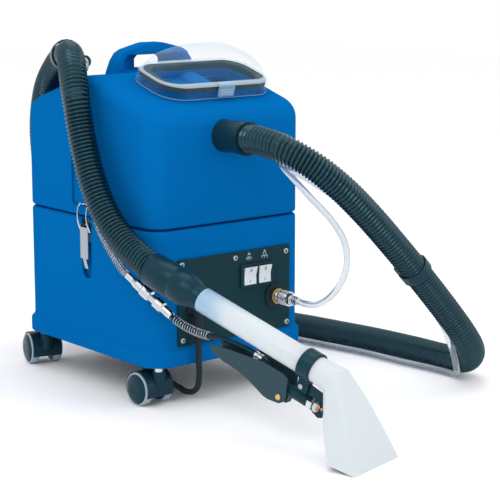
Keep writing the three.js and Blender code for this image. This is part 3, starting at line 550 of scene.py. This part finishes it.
def dome_lid():
    """A clear shell: the outer layers upwards, closed over, and the inner layers down again."""
    outer = [[on_slope(p) for p in layer] for layer in dome_shape(0)]
    inner = [[on_slope(p) for p in layer] for layer in dome_shape(2.4)]
    loops = []
    for layer in [*outer, *reversed(inner)]:
        mirrored = [(2 * DOME_X - p[0], p[1], p[2]) for p in reversed(layer)]
        loops.append([*layer, *mirrored])
    size, count = len(loops[0]), len(outer)
    verts, faces = rings_mesh(loops, closed=True)
    del faces[(count - 1) * size:count * size]
    faces.append(tuple(range((count - 1) * size, count * size)))
    faces.append(tuple(reversed(range(count * size, (count + 1) * size))))
    lid = piece("dome_shell", placed(verts), faces, CLEAR, "dome_lid", 60)
    for clear in CLEAR_ZONES[1:]:
        lid.data.materials.append(clear)
    zones = []
    for k in range(len(loops)):
        if k != count - 1:
            zones += [dome_zone(k, count)] * size
    for face, zone in zip(lid.data.polygons, [*zones, IN_HUMP, ON_INSIDE]):
        face.material_index = zone
    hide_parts("dome_lid")


def lid_trim():
    """Soft gasket lip under the ledge and the ribs of the lid's clip."""
    verts, faces = slope_block(LID_X - 4, LID_V - 4, 37, [(12.6, 1), (13.2, 0), (20.4, 0), (21.2, 0.8)])
    lip = piece("gasket_lip", placed(verts), faces, GASKET)
    cutters(lip, [slope_block(94.6, 49.6, 40, [(8, 0), (26, 0)])])
    for k, up in enumerate((10, 12.6, 15.2, 17.8)):
        line = [on_slope((x, -60.6, up)) for x in (-12, 0, 12)]
        tube(f"clip_rib_{k}", line, 0.5, CLEAR_LEDGE, 6, "dome_lid", step=3)


# ------------------------------------------------------------------ casters
TYRE = [(22.4, 0), (24, 0), (24.9, 0.8), (25.4, 3), (25.5, 6.5), (25.4, 10), (24.8, 12.2), (23.8, 13),
        (22.6, 13), (22.4, 12.4), (22.4, 0)]
WHEEL_DISC = [(3.5, 1), (22.2, 1), (22.2, 12.6), (21.6, 14), (19.6, 15.2), (15, 16.4), (8, 17), (7.4, 16.6),
              (0, 16.8)]
WHEEL_INSET = 12.8


def casters():
    """Tyre and disc of each wheel, both facing away from the hood between the twins."""
    for joint in frame["joints"]:
        if not joint["name"].startswith("wheel_spin_"):
            continue
        key = joint["name"].replace("wheel_spin_", "")
        centre = Vector(joint["pos_m"])
        axis = Vector(joint["axis"]).normalized() * (-1 if key.endswith("_a") else 1)
        start = centre + axis * WHEEL_INSET * MM
        body = "wheel_" + key
        tyre = turned(f"tyre_{key}", TYRE, start, axis, TREAD, body, 56)
        turned(f"disc_{key}", WHEEL_DISC, start, axis, BLACK, body, 48)
        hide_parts("caster_wheel_" + key)


# ------------------------------------------------------------------ hand tool
HEADING, RISE = math.radians(13.5), math.radians(19.5)
TOOL = (-89.5, -509.3, 107)
VALVE_UP = -49


def tool_at(x, y, z):
    """From the tool frame (nozzle bend, -Y forwards) to machine millimetres."""
    c, s = math.cos(HEADING), math.sin(HEADING)
    return (TOOL[0] + x * c - y * s, TOOL[1] + x * s + y * c, TOOL[2] + z)


def wand_at(x, along, up):
    """From the wand frame (along the tube, up square to it) to machine millimetres."""
    c, s = math.cos(RISE), math.sin(RISE)
    return tool_at(x, along * c - up * s, along * s + up * c)


def wand_turned(name, profile, start, mat, body="machine", up=0.0, end=None, steps=40):
    a = at(*wand_at(0, start, up))
    b = at(*wand_at(0, *(end or (start + 10, up))))
    return turned(name, profile, a, b - a, mat, body, steps)


def spring_round(name, line, radius, pitch, wire):
    """A spring of round wire wound along a line."""
    path = even(catmull(line), 1.0)
    run = measure(path)
    points = []
    for i, (normal, side) in zip(range(len(path) - 1), across(path)):
        for k in range(4):
            t = k / 4
            a = 2 * math.pi * (run[i] + (run[i + 1] - run[i]) * t) / pitch
            offset = (normal * math.cos(a) + side * math.sin(a)) * radius
            points.append(path[i].lerp(path[i + 1], t) + offset)
    return tube(name, points, wire, STEEL, 6, step=2.2)


NECK_RADIUS = 18.7
BEND_TILT = -0.86
BEND = (0, 0, BEND_TILT, NECK_RADIUS, 23, NECK_RADIUS)
MOUTH = (-45, -102, 0.218, 55.5, 23.2, 5)


def nozzle_ring(grow, y, z, tilt, half_x, half_v, corner):
    """One closed section, tilted about X."""
    corner = min(corner + grow, half_x + grow, half_v + grow) - 0.01
    outline = half_outline(half_x + grow, half_v + grow, corner, (), 9)
    side = [(x, y + v * math.cos(tilt), z + v * math.sin(tilt)) for x, v in outline]
    return side + [(-x, yy, zz) for x, yy, zz in reversed(side)]


def nozzle_sections(grow):
    """From the flat mouth through the bend to the round neck on the wand."""
    rings = []
    for k in range(9):
        t = 1 - k / 8
        rings.append(nozzle_ring(grow, *[a + (b - a) * t for a, b in zip(BEND, MOUTH)]))
    straight = RISE - math.pi / 2
    for along, mix in ((8, 0.55), (18, 0.15), (28, 0), (41.8, 0)):
        tilt = straight + (BEND_TILT - straight) * mix
        y, z = along * math.cos(RISE), along * math.sin(RISE)
        rings.append(nozzle_ring(grow, y, z, tilt, NECK_RADIUS, NECK_RADIUS + 4.3 * mix, NECK_RADIUS))
    return rings


def nozzle():
    outer = [[tool_at(*p) for p in ring] for ring in nozzle_sections(0)]
    inner = [[tool_at(*p) for p in ring] for ring in nozzle_sections(-2.6)]
    verts, faces = rings_mesh([*outer, *reversed(inner)], closed=True)
    shell = piece("nozzle_shell", placed(verts), faces, MILKY, angle=28)
    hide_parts("suction_nozzle")


def paint_seen_through_blue(mat, start, end, rgb):
    """Lets the tube's milky colour turn to rgb from start to end along the wand, with cloudy edges: painted
    light.
    """
    nodes, links = mat.node_tree.nodes, mat.node_tree.links
    shader = nodes["Principled BSDF"]
    low, high = at(*wand_at(0, start, 0)), at(*wand_at(0, end, 0))
    along = (high - low).normalized()
    coords = nodes.new("ShaderNodeTexCoord")
    dot = nodes.new("ShaderNodeVectorMath")
    dot.operation = "DOT_PRODUCT"
    dot.inputs[1].default_value = along
    links.new(coords.outputs["Object"], dot.inputs[0])
    cloud = nodes.new("ShaderNodeTexNoise")
    cloud.inputs["Scale"].default_value = 35
    links.new(coords.outputs["Object"], cloud.inputs["Vector"])
    drift = nodes.new("ShaderNodeMath")
    drift.operation = "MULTIPLY_ADD"
    drift.inputs[1].default_value = 0.05
    links.new(cloud.outputs["Fac"], drift.inputs[0])
    links.new(dot.outputs["Value"], drift.inputs[2])
    fade = nodes.new("ShaderNodeMapRange")
    fade.interpolation_type = "SMOOTHSTEP"
    fade.inputs["From Min"].default_value = low.dot(along) + 0.025
    fade.inputs["From Max"].default_value = high.dot(along) + 0.025
    links.new(drift.outputs["Value"], fade.inputs["Value"])
    blend = nodes.new("ShaderNodeMix")
    blend.data_type = "RGBA"
    blend.inputs["A"].default_value = shader.inputs["Base Color"].default_value
    blend.inputs["B"].default_value = (*[linear(c) for c in rgb], 1)
    links.new(fade.outputs["Result"], blend.inputs["Factor"])
    links.new(blend.outputs["Result"], shader.inputs["Base Color"])


TUBE_WALL = [(15.7, 0), (17.8, 0), (18.2, 0.6), (18.2, 197.2), (17.8, 197.8), (15.7, 197.8), (15.7, 0)]
CUFF = [(12.5, -18), (15, -18), (15.2, 0.6), (18.2, 0.6), (18.6, 1.5), (18.6, 11.5), (19.6, 13), (24, 25),
        (25, 29), (25.4, 34), (25.4, 50), (25, 50.8), (25, 53), (25.4, 53.8), (25.4, 91), (24.6, 93),
        (24.6, 100.4), (24, 101), (21.9, 101), (21.9, 80), (12.5, 40), (12.5, -18)]
BAND = [(19.1, 0), (21.6, 0), (22, 0.6), (22, 5), (21.6, 6), (21.6, 15), (22, 16), (22, 20.4), (21.6, 21),
        (19.1, 21), (19.1, 0)]
FERRULE = [(4.2, 0), (5.6, 0.3), (5.6, 5), (4.8, 5.6), (4.8, 8.4), (5.6, 9), (5.6, 13), (4.2, 13.4), (4.2, 0)]
VALVE_NUT = [(8.6, 0), (10.4, 0.8), (10.4, 9), (8.6, 10), (8.6, 0)]
JET_NUT = [(3, 0), (6.6, 0), (8.6, 1.4), (8.6, 7.4), (7.8, 8), (3, 8), (3, 0)]
PIN_HEAD = [(0, 0), (4.4, 0), (4.4, 1.2), (3.4, 2.4), (0, 2.8)]
CLAMP_SCREW = [(0, 0), (3.6, 0), (3.6, 1.8), (2.2, 2.2), (0, 2.2)]
PIPE_END = ((212, -44), (224, -47.4), (236, -50), (249, -51.4), (262, -52), (277, -51))


def heads(name, profile, half_width, along, up, mat, steps):
    """A head on each side of the wand, facing outwards."""
    for x in (-half_width, half_width):
        point = at(*wand_at(x, along, up))
        out = at(*wand_at(x * 1.2, along, up)) - point
        turned(f"{name}_{x > 0}", profile, point, out, mat, steps=steps)


def tool():
    nozzle()
    # Painted light: the blue of the body behind the tube, seen through it, is painted into the tube's colour
    # near the cuff.
    paint_seen_through_blue(TUBE_MILKY, 165, 236, (146, 178, 202))
    pipe = wand_turned("wand_pipe", TUBE_WALL, 42.2, TUBE_MILKY, steps=56)
    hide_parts("wand_tube")
    sleeve = wand_turned("tool_cuff_sleeve", CUFF, 240, BLACK, "tool_cuff", steps=56)
    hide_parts("tool_cuff")
    wand_turned("clamp_band", BAND, 32, BLACK, steps=48)
    spring_round("spring_guard", [wand_at(0, along, up) for along, up in PIPE_END], 5.6, 4.4, 0.85)
    wand_turned("pipe_ferrule", FERRULE, 118, CHROME, up=-30.9, end=(131, -30.2), steps=28)
    heads("pin_head", PIN_HEAD, 13.2, 69.2, -61, BRASS, 24)
    heads("clamp_screw", CLAMP_SCREW, 5, 45, -32.7, STEEL, 20)
    jet_bracket()
    wand_turned("valve_nut", VALVE_NUT, 18.5, CHROME, up=VALVE_UP, end=(30, VALVE_UP), steps=6)
    wand_turned("jet_nut", JET_NUT, 10.2, CHROME, up=VALVE_UP, end=(20, VALVE_UP), steps=8)


def jet_bracket():
    """Black plate from the clamp that holds the valve's end beside the nozzle."""
    outline = [(36, -25), (47, -33), (44, -41), (26, -57), (8, -63), (2, -60), (3, -36), (12, -27)]
    rings = [[wand_at(x, along, up) for along, up in outline] for x in (-1.3, 1.3)]
    verts, faces = rings_mesh(rings)
    piece("jet_bracket", placed(verts), faces, BLACK)


# ------------------------------------------------------------------ control panel
PANEL_FACE = -178
OUT = (0, -1, 0)
PANEL_SCREWS = ((106.2, 210.6), (108.6, 97.5), (5.7, 211.4), (-94.7, 98.4), (-95.7, 213.5), (6, 97.5))
SCREW_HEAD = [(1.7, 0.1), (4.6, 0.1), (4.6, 0.7), (4, 1.7), (2.9, 2.3), (1.9, 2.3), (1.7, 2.1), (1.7, 0.1)]
# The socket is a dark disc at the bottom of the head's hole: painted shade of the recess.
SOCKET_SHADE = [(0, 0), (1.9, 0), (1.9, 0.8), (0, 0.8)]
COUPLING_X, COUPLING_Z, RING_TEETH = 84, 143, 36
BARREL = [(3, 10), (10.2, 10), (10.6, 10.5), (10.6, 13), (10.2, 13.5), (8.4, 13.6), (8.4, 17.6), (8, 18),
          (3, 18), (3, 10)]
TAIL = [(2.5, 18.6), (8.5, 18.6), (8.5, 43.2), (7.4, 43.6), (7.4, 46), (6.6, 46.4), (6.6, 48.4), (7.2, 48.8),
        (7.2, 50.8), (6.6, 51.2), (6.6, 55.6), (6.2, 56), (2.5, 56), (2.5, 18.6)]
TAIL_HEXAGON = [(8.4, 38), (9.8, 38.6), (9.8, 42.8), (8.4, 43.4), (8.4, 38)]
ROCKERS = (("pump", 33.5), ("vacuum", 62.5))
ROCKER_Z = 181


def panel():
    for i, (x, z) in enumerate(PANEL_SCREWS):
        point = at(x, PANEL_FACE, z)
        turned(f"panel_screw_{i}", SCREW_HEAD, point, OUT, STEEL, steps=24)
        # Painted shade: a dark disc stands for the shaded socket recess of the steel screw.
        turned(f"panel_screw_{i}_socket", SOCKET_SHADE, point, OUT, DARK_PRINT_AND_SHADE, steps=6)
    spray_and_suction()
    coupling()
    rocker_marks()


def toothed_ring():
    rings = []
    for height, cut_back in ((3.4, 1.2), (4, 0.2), (9.2, 0.2), (9.8, 1.2)):
        ring = []
        for k in range(RING_TEETH * 2):
            a = math.pi * k / RING_TEETH
            r = (12.6 if k % 2 else 11.7) - cut_back
            ring.append((COUPLING_X + r * math.cos(a), PANEL_FACE - height, COUPLING_Z + r * math.sin(a)))
        rings.append(ring)
    verts, faces = rings_mesh(rings)
    return piece("coupling_ring", placed(verts), faces, BRASS, angle=20)


def coupling():
    """Quick coupling on the panel: toothed brass ring, chrome barrel, ribbed sleeve and hose tail."""
    point = at(COUPLING_X, PANEL_FACE, COUPLING_Z)
    ring = toothed_ring()
    turned("coupling_barrel", BARREL, point, OUT, CHROME)
    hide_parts("coupling_socket")
    grip = [(9.2, 19.4), (11, 19.4), (11.5, 20)]
    for k in range(5):
        rib = 3 * k
        grip += [(11.5, 21.6 + rib), (10.7, 22.2 + rib), (10.7, 22.8 + rib), (11.5, 23.4 + rib)]
    grip += [(11.5, 36.4), (11, 37), (9.2, 37), (9.2, 19.4)]
    sleeve = turned("coupling_grip", grip, point, OUT, CHROME, "coupling_sleeve")
    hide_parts("coupling_sleeve")
    end = turned("tail_barb", TAIL, point, OUT, CHROME)
    turned("tail_hexagon", TAIL_HEXAGON, point, OUT, CHROME, steps=6)
    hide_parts("hose_tail")


def on_rocker(rocker, x, z):
    """The point of the rocker's front face at that place, in machine millimetres."""
    to_local = rocker.matrix_world.inverted()
    start = to_local @ at(x, -240, z)
    direction = (to_local @ at(x, -100, z) - start).normalized()
    hit, place, _, _ = rocker.ray_cast(start, direction)
    world = rocker.matrix_world @ place if hit else at(x, -184, z)
    return (world - ORIGIN) / MM


def rocker_marks():
    """A ring on the upper half and a bar on the lower half of each rocker."""
    turns = [math.pi * k / 10 for k in range(21)]
    for key, x in ROCKERS:
        rocker = frame["nodes"][f"rocker_{key}"]
        circle = [(x + 1.9 * math.cos(a), ROCKER_Z + (8.4 + 2.4 * math.sin(a))) for a in turns]
        bar = [(x, ROCKER_Z - 10.6), (x, ROCKER_Z - 6.2)]
        for name, line in (("off", circle), ("on", bar)):
            points = [on_rocker(rocker, *p) for p in line]
            tube(f"mark_{name}_{key}", points, 0.42, DARK_PRINT_AND_SHADE, 6, f"rocker_{key}", step=0.8)


def spray_and_suction():
    """Generic pictograms over the switches: a fan of spray and an arrow of suction."""
    def stroke(name, points, width=0.55):
        tube(name, [(x, PANEL_FACE - 0.15, z) for x, z in points], width, INK, 6, step=1.2)
    for i, (dx, dz) in enumerate([(-6, -4.6), (-2.4, -7), (2.4, -7), (6, -4.6)]):
        stroke(f"spray_line_{i}", [(32.5 + dx * 0.25, 212 + dz * 0.25), (32.5 + dx, 212 + dz)])
    stroke("spray_neck", [(32.5, 213), (32.5, 217)], 0.8)
    stroke("spray_head", [(29.5, 214), (35.5, 214)], 0.8)
    stroke("suction_left", [(63.5, 218), (60.6, 210)])
    stroke("suction_right", [(63.5, 218), (66.4, 210)])
    stroke("suction_base", [(57.5, 208.6), (69.5, 208.6)])
    for i, x in enumerate((58.5, 63.5, 68.5)):
        stroke(f"suction_foot_{i}", [(x, 208.6), (x, 205)])


# ------------------------------------------------------------------ hoses and lead
VACUUM_ROUTE = [
    (-12, -231.8, 399.5), (-12, -246, 399.5), (0, -296, 390), (27, -328, 368), (64, -349, 334),
    (106, -361, 292), (160, -370, 235), (212, -376, 179), (264, -381, 121), (292, -383, 88),
    (322, -374, 55), (344, -343, 31), (352, -298, 22.5), (350, -225, 22), (342, -138, 22), (328, -58, 22),
    (312, 25, 22), (286, 110, 22), (240, 185, 22), (178, 238, 22), (110, 264, 28), (52, 268, 60),
    (8, 262, 110), (-24, 255, 180), (-50, 247, 260), (-70, 236, 340), (-82, 217, 400), (-90, 188, 452),
    (-100, 142, 489), (-120, 84, 509), (-146, 34, 512), (-166, -2, 497), (-178, -28, 459),
    (-180, -42, 414), (-181, -56, 376), (-182, -74, 338), (-181, -98, 300), (-177, -128, 266),
    (-172, -160, 241), (-168, -180, 230.5), (-164.8, -195.9, 221.2),
]
SOLUTION_ROUTE = [
    (84, -235, 143), (84, -252, 142), (92, -268, 143), (112, -279, 156), (131, -282, 178), (141, -281, 206),
    (139, -276, 236), (124, -264, 268), (100, -247, 300), (80, -232, 328), (64, -226, 347), (47, -238, 357),
    (42, -262, 354), (54, -284, 342), (84, -309, 316), (120, -326, 282), (160, -338, 236), (203, -346, 187),
    (245, -351, 139), (280, -354, 94), (296, -354, 64), (306, -353, 42), (313, -352, 23), (321, -346, 11),
    (329, -326, 6.5), (327, -290, 6.5), (319, -225, 6.5), (312, -138, 6.5), (298, -65, 6.5), (284, 8, 6.5),
    (260, 90, 6.5), (220, 162, 6.5), (166, 211, 6.5), (105, 234, 14), (52, 235, 46), (15, 229, 100),
    (-12, 222, 180), (-34, 214, 260), (-48, 206, 340), (-52, 197, 400), (-54, 186, 434), (-58, 166, 462),
    (-68, 130, 487), (-88, 84, 498), (-110, 48, 496), (-127, 22, 492), (-145, 14, 481), (-154, 4, 460),
    (-160, -8, 414), (-166, -19, 376), (-171, -40, 338), (-176, -64, 300), (-179, -89, 264),
    (-179, -118, 234), (-177, -136, 216), (-175.4, -151.3, 205),
]
MAINS_ROUTE = [
    (-76, -191.8, 102.7), (-76, -192, 84), (-75.5, -192, 64), (-73, -189, 42), (-69, -180, 24),
    (-65, -164, 12), (-61, -140, 6), (-54, -115, 5), (-40, -50, 4.9), (-20, 30, 4.9), (0, 110, 4.9),
    (14, 190, 4.9), (22, 262, 4.9), (40, 318, 4.9), (62, 352, 4.9),
]


RIB_PITCH = 6.0


def ribbed(distance):
    """Section of the vacuum hose: round ribs on a thinner wall."""
    phase = 0.5 - 0.5 * math.cos(2 * math.pi * distance / RIB_PITCH)
    return 18.6 + 2.9 * phase ** 0.8


def vacuum_hose():
    path = even(catmull(VACUUM_ROUTE), 1.0)
    rings = sweep(path, ribbed, 24)
    verts, faces = rings_mesh(rings)
    hose = piece("vacuum_hose_ribs", placed(verts), faces, HOSE, angle=70)
    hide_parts("vacuum_hose")
    return hose, path


def solution_hose():
    path = even(catmull(SOLUTION_ROUTE), 3.0)
    verts, faces = rings_mesh(sweep(path, 5.0, 16))
    hose = piece("solution_hose_clear", placed(verts), faces, TUBING, angle=60)
    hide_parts("solution_hose")
    return hose, path


LEAD_RADIUS, LEAD_LIES_AT = 4.5, 4.9
COIL = {"x": 150, "y": 385, "inner": 49.6, "outer": 76.4, "lift": 9.3, "degrees": 977.5, "cross": 60}
PLUG_Z = 18.3
PLUG_ENTRY = [(236, 365, PLUG_Z), (236, 345.4, PLUG_Z)]


def coil_point(radius, degrees, z):
    angle = math.radians(degrees)
    return (COIL["x"] + radius * math.cos(angle), COIL["y"] + radius * math.sin(angle), z)


def coil_turns():
    """Four flat layers wound clockwise, alternately inwards and outwards, then a tail to the plug."""
    inner, outer, degrees = COIL["inner"], COIL["outer"], 190.0
    points, z = [], LEAD_LIES_AT
    for layer in range(4):
        ends = (outer, inner) if layer % 2 == 0 else (inner, outer)
        spans = round(COIL["degrees"] / 15)
        for k in range(spans + 1):
            points.append(coil_point(ends[0] + (ends[1] - ends[0]) * k / spans, degrees, z))
            degrees -= COIL["degrees"] / spans if k < spans else 0
        if layer < 3:
            for k in range(1, 5):
                t = k / 5
                climb = COIL["lift"] * (3 * t * t - 2 * t**3)
                points.append(coil_point(ends[1], degrees - COIL["cross"] * t, z + climb))
            degrees -= COIL["cross"]
            z += COIL["lift"]
    for k in range(1, 7):
        t = k / 6
        points.append(coil_point(outer + 9.8 * t ** 0.6, degrees - 60 * t, z - (z - PLUG_Z) * t ** 2))
    return points


def power_cord():
    """The mains lead from its gland on the panel to the plug, coiled behind the machine."""
    path = even(catmull([*MAINS_ROUTE, *coil_turns(), *PLUG_ENTRY], 6), 4.5)
    verts, faces = rings_mesh(sweep(path, LEAD_RADIUS, 14))
    lead = piece("mains_lead", placed(verts), faces, RUBBER, angle=60)
    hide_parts("power_cord", "power_cord_coil")
    return lead, path


def lead_tie():
    """A thin strap round the coil, flattened where it lies on the floor."""
    loop = [(44.3, 6), (44.3, 32), (45.4, 37), (50, 38.4), (63, 38.6), (76, 38.4), (80.8, 37), (81.9, 32),
            (81.9, 6), (80.5, 1.4), (77, 0.24), (63, 0.22), (49, 0.24), (45.6, 1.4)]
    middle_r, middle_z = 63.1, 19.3
    c, s = math.cos(math.radians(75)), math.sin(math.radians(75))
    rings = []
    for r, z in loop:
        out = Vector((r - middle_r, 0, z - middle_z)).normalized()
        thick = 0.16 if z < 1 else 0.6
        ring = []
        for side, t in ((-7, -thick), (7, -thick), (7, thick), (-7, thick)):
            rr, zz = r + out.x * t, max(0.03, z + out.z * t)
            ring.append((COIL["x"] + rr * c - side * s, COIL["y"] + rr * s + side * c, zz))
        rings.append(ring)
    verts, faces = rings_mesh(rings, closed=True)
    return piece("lead_tie", placed(verts), faces, BLACK)


SPRING_STRETCH = slice(-34, -1)
VACUUM_PATH_SKIP = 5


def cords():
    hose, path = vacuum_hose()
    steps = [at(*p) for p in path[::VACUUM_PATH_SKIP]] + [at(*path[-1])]
    tuple(steps[0])
    measure(steps)[-1]
    [tuple(p) for p in steps]
    hose, path = solution_hose()
    steps = [at(*p) for p in path]
    spring = spring_round("hose_spring", [tuple(p) for p in path[SPRING_STRETCH]], 5.9, 4.4, 0.8)
    tuple(steps[0])
    measure(steps)[-1]
    [tuple(p) for p in steps]
    lead, path = power_cord()
    tie = lead_tie()
    steps = [at(*p) for p in path]
    tuple(steps[0])
    measure(steps)[-1]
    [tuple(p) for p in steps]


# ------------------------------------------------------------------ finishes on the solids
CAD_FINISH = {
    "base_plate": BLACK, "solution_tank": TANK_MILKY, "vacuum_motor": BLACK, "pump": BLACK,
    "control_panel": PANEL, "switch_frame": BLACK, "rocker_pump": WHITE, "rocker_vacuum": WHITE,
    "coupling_washer": RUBBER, "cord_gland": RUBBER, "lid_gasket": GASKET, "lid_clip": CLEAR_CLIP,
    "float_cage": BLACK, "float_ball": WHITE, "inlet_cuff": BLACK, "collar_clamp": BLACK,
    "valve_body": BLACK, "trigger_lever": LEVER,
    "trigger_pin": BRASS, "valve_pipe": BLACK, "spray_jet": COPPER, "tool_coupling": CHROME,
    "hose_clip_a": BLACK, "hose_clip_b": BLACK, "power_plug": RUBBER,
}
for side_name in ("left", "right"):
    CAD_FINISH[f"latch_bracket_{side_name}"] = BRACKET
    CAD_FINISH[f"latch_lever_{side_name}"] = STEEL
    CAD_FINISH[f"latch_bail_{side_name}"] = CHROME
for corner_name in ("front_left", "front_right", "rear_left", "rear_right"):
    CAD_FINISH[f"caster_stem_{corner_name}"] = CHROME
    CAD_FINISH[f"caster_hood_{corner_name}"] = BLACK


def finish_solids():
    for name, mat in CAD_FINISH.items():
        obj = frame["nodes"][name]
        obj.data.materials.clear()
        obj.data.materials.append(mat)
        for face in obj.data.polygons:
            face.use_smooth = True
        rounded(obj, 0.5)


# ------------------------------------------------------------------ studio
FLOOR_CORNERS = ((-6000, -4000, 0), (6000, -4000, 0), (6000, 7000, 0), (-6000, 7000, 0))
FLOOR_DROP = Vector((0, 0, 0.0002))
LIGHTS = [
    ("key", (-1300, -900, 1500), 0.9, 9),
    ("fill", (1500, -1500, 900), 1.2, 4.5),
    ("top", (100, -100, 2000), 1.2, 7),
]
LIT_POINT = (60, -60, 220)
LENS, SENSOR = 116.4, 36
CAMERA_PLACE, CAMERA_VIEW = (-1505.9, -2049.4, 687.1), (0.624, 0.758, -0.189)


def backdrop(scene):
    """White floor and white surroundings."""
    ground = material("studio_floor", (254, 254, 255), 0.9, Specular_IOR_Level=0.0)
    corners = [at(*corner) - FLOOR_DROP for corner in FLOOR_CORNERS]
    piece("studio_ground", corners, [(0, 1, 2, 3)], ground, body=None)
    world = bpy.data.worlds.new("studio")
    world.use_nodes = True
    world.node_tree.nodes["Background"].inputs["Color"].default_value = (1, 1, 1, 1)
    world.node_tree.nodes["Background"].inputs["Strength"].default_value = 1.0
    scene.world = world
    scene.view_settings.view_transform = "Standard"


def lights(scene):
    for name, place, size, power in LIGHTS:
        data = bpy.data.lights.new(name, "AREA")
        data.energy, data.size = power, size
        lamp = bpy.data.objects.new(name, data)
        lamp.location = at(*place)
        lamp.rotation_mode = "QUATERNION"
        lamp.rotation_quaternion = (at(*LIT_POINT) - lamp.location).to_track_quat("-Z", "Y")
        scene.collection.objects.link(lamp)


def camera(scene):
    lens = bpy.data.cameras.new("camera")
    lens.lens, lens.sensor_width = LENS, SENSOR
    eye = bpy.data.objects.new("camera", lens)
    eye.location = at(*CAMERA_PLACE)
    forward = Vector(CAMERA_VIEW).normalized()
    right = forward.cross(Vector((0, 0, 1))).normalized()
    up = right.cross(forward)
    eye.rotation_mode = "QUATERNION"
    eye.rotation_quaternion = Matrix((right, up, -forward)).transposed().to_quaternion()
    scene.collection.objects.link(eye)
    scene.camera = eye


def studio():
    scene = bpy.context.scene
    backdrop(scene)
    lights(scene)
    camera(scene)


finish_solids()
lower_body()
recovery_tank()
dome_lid()
lid_trim()
casters()
tool()
panel()
cords()
studio()
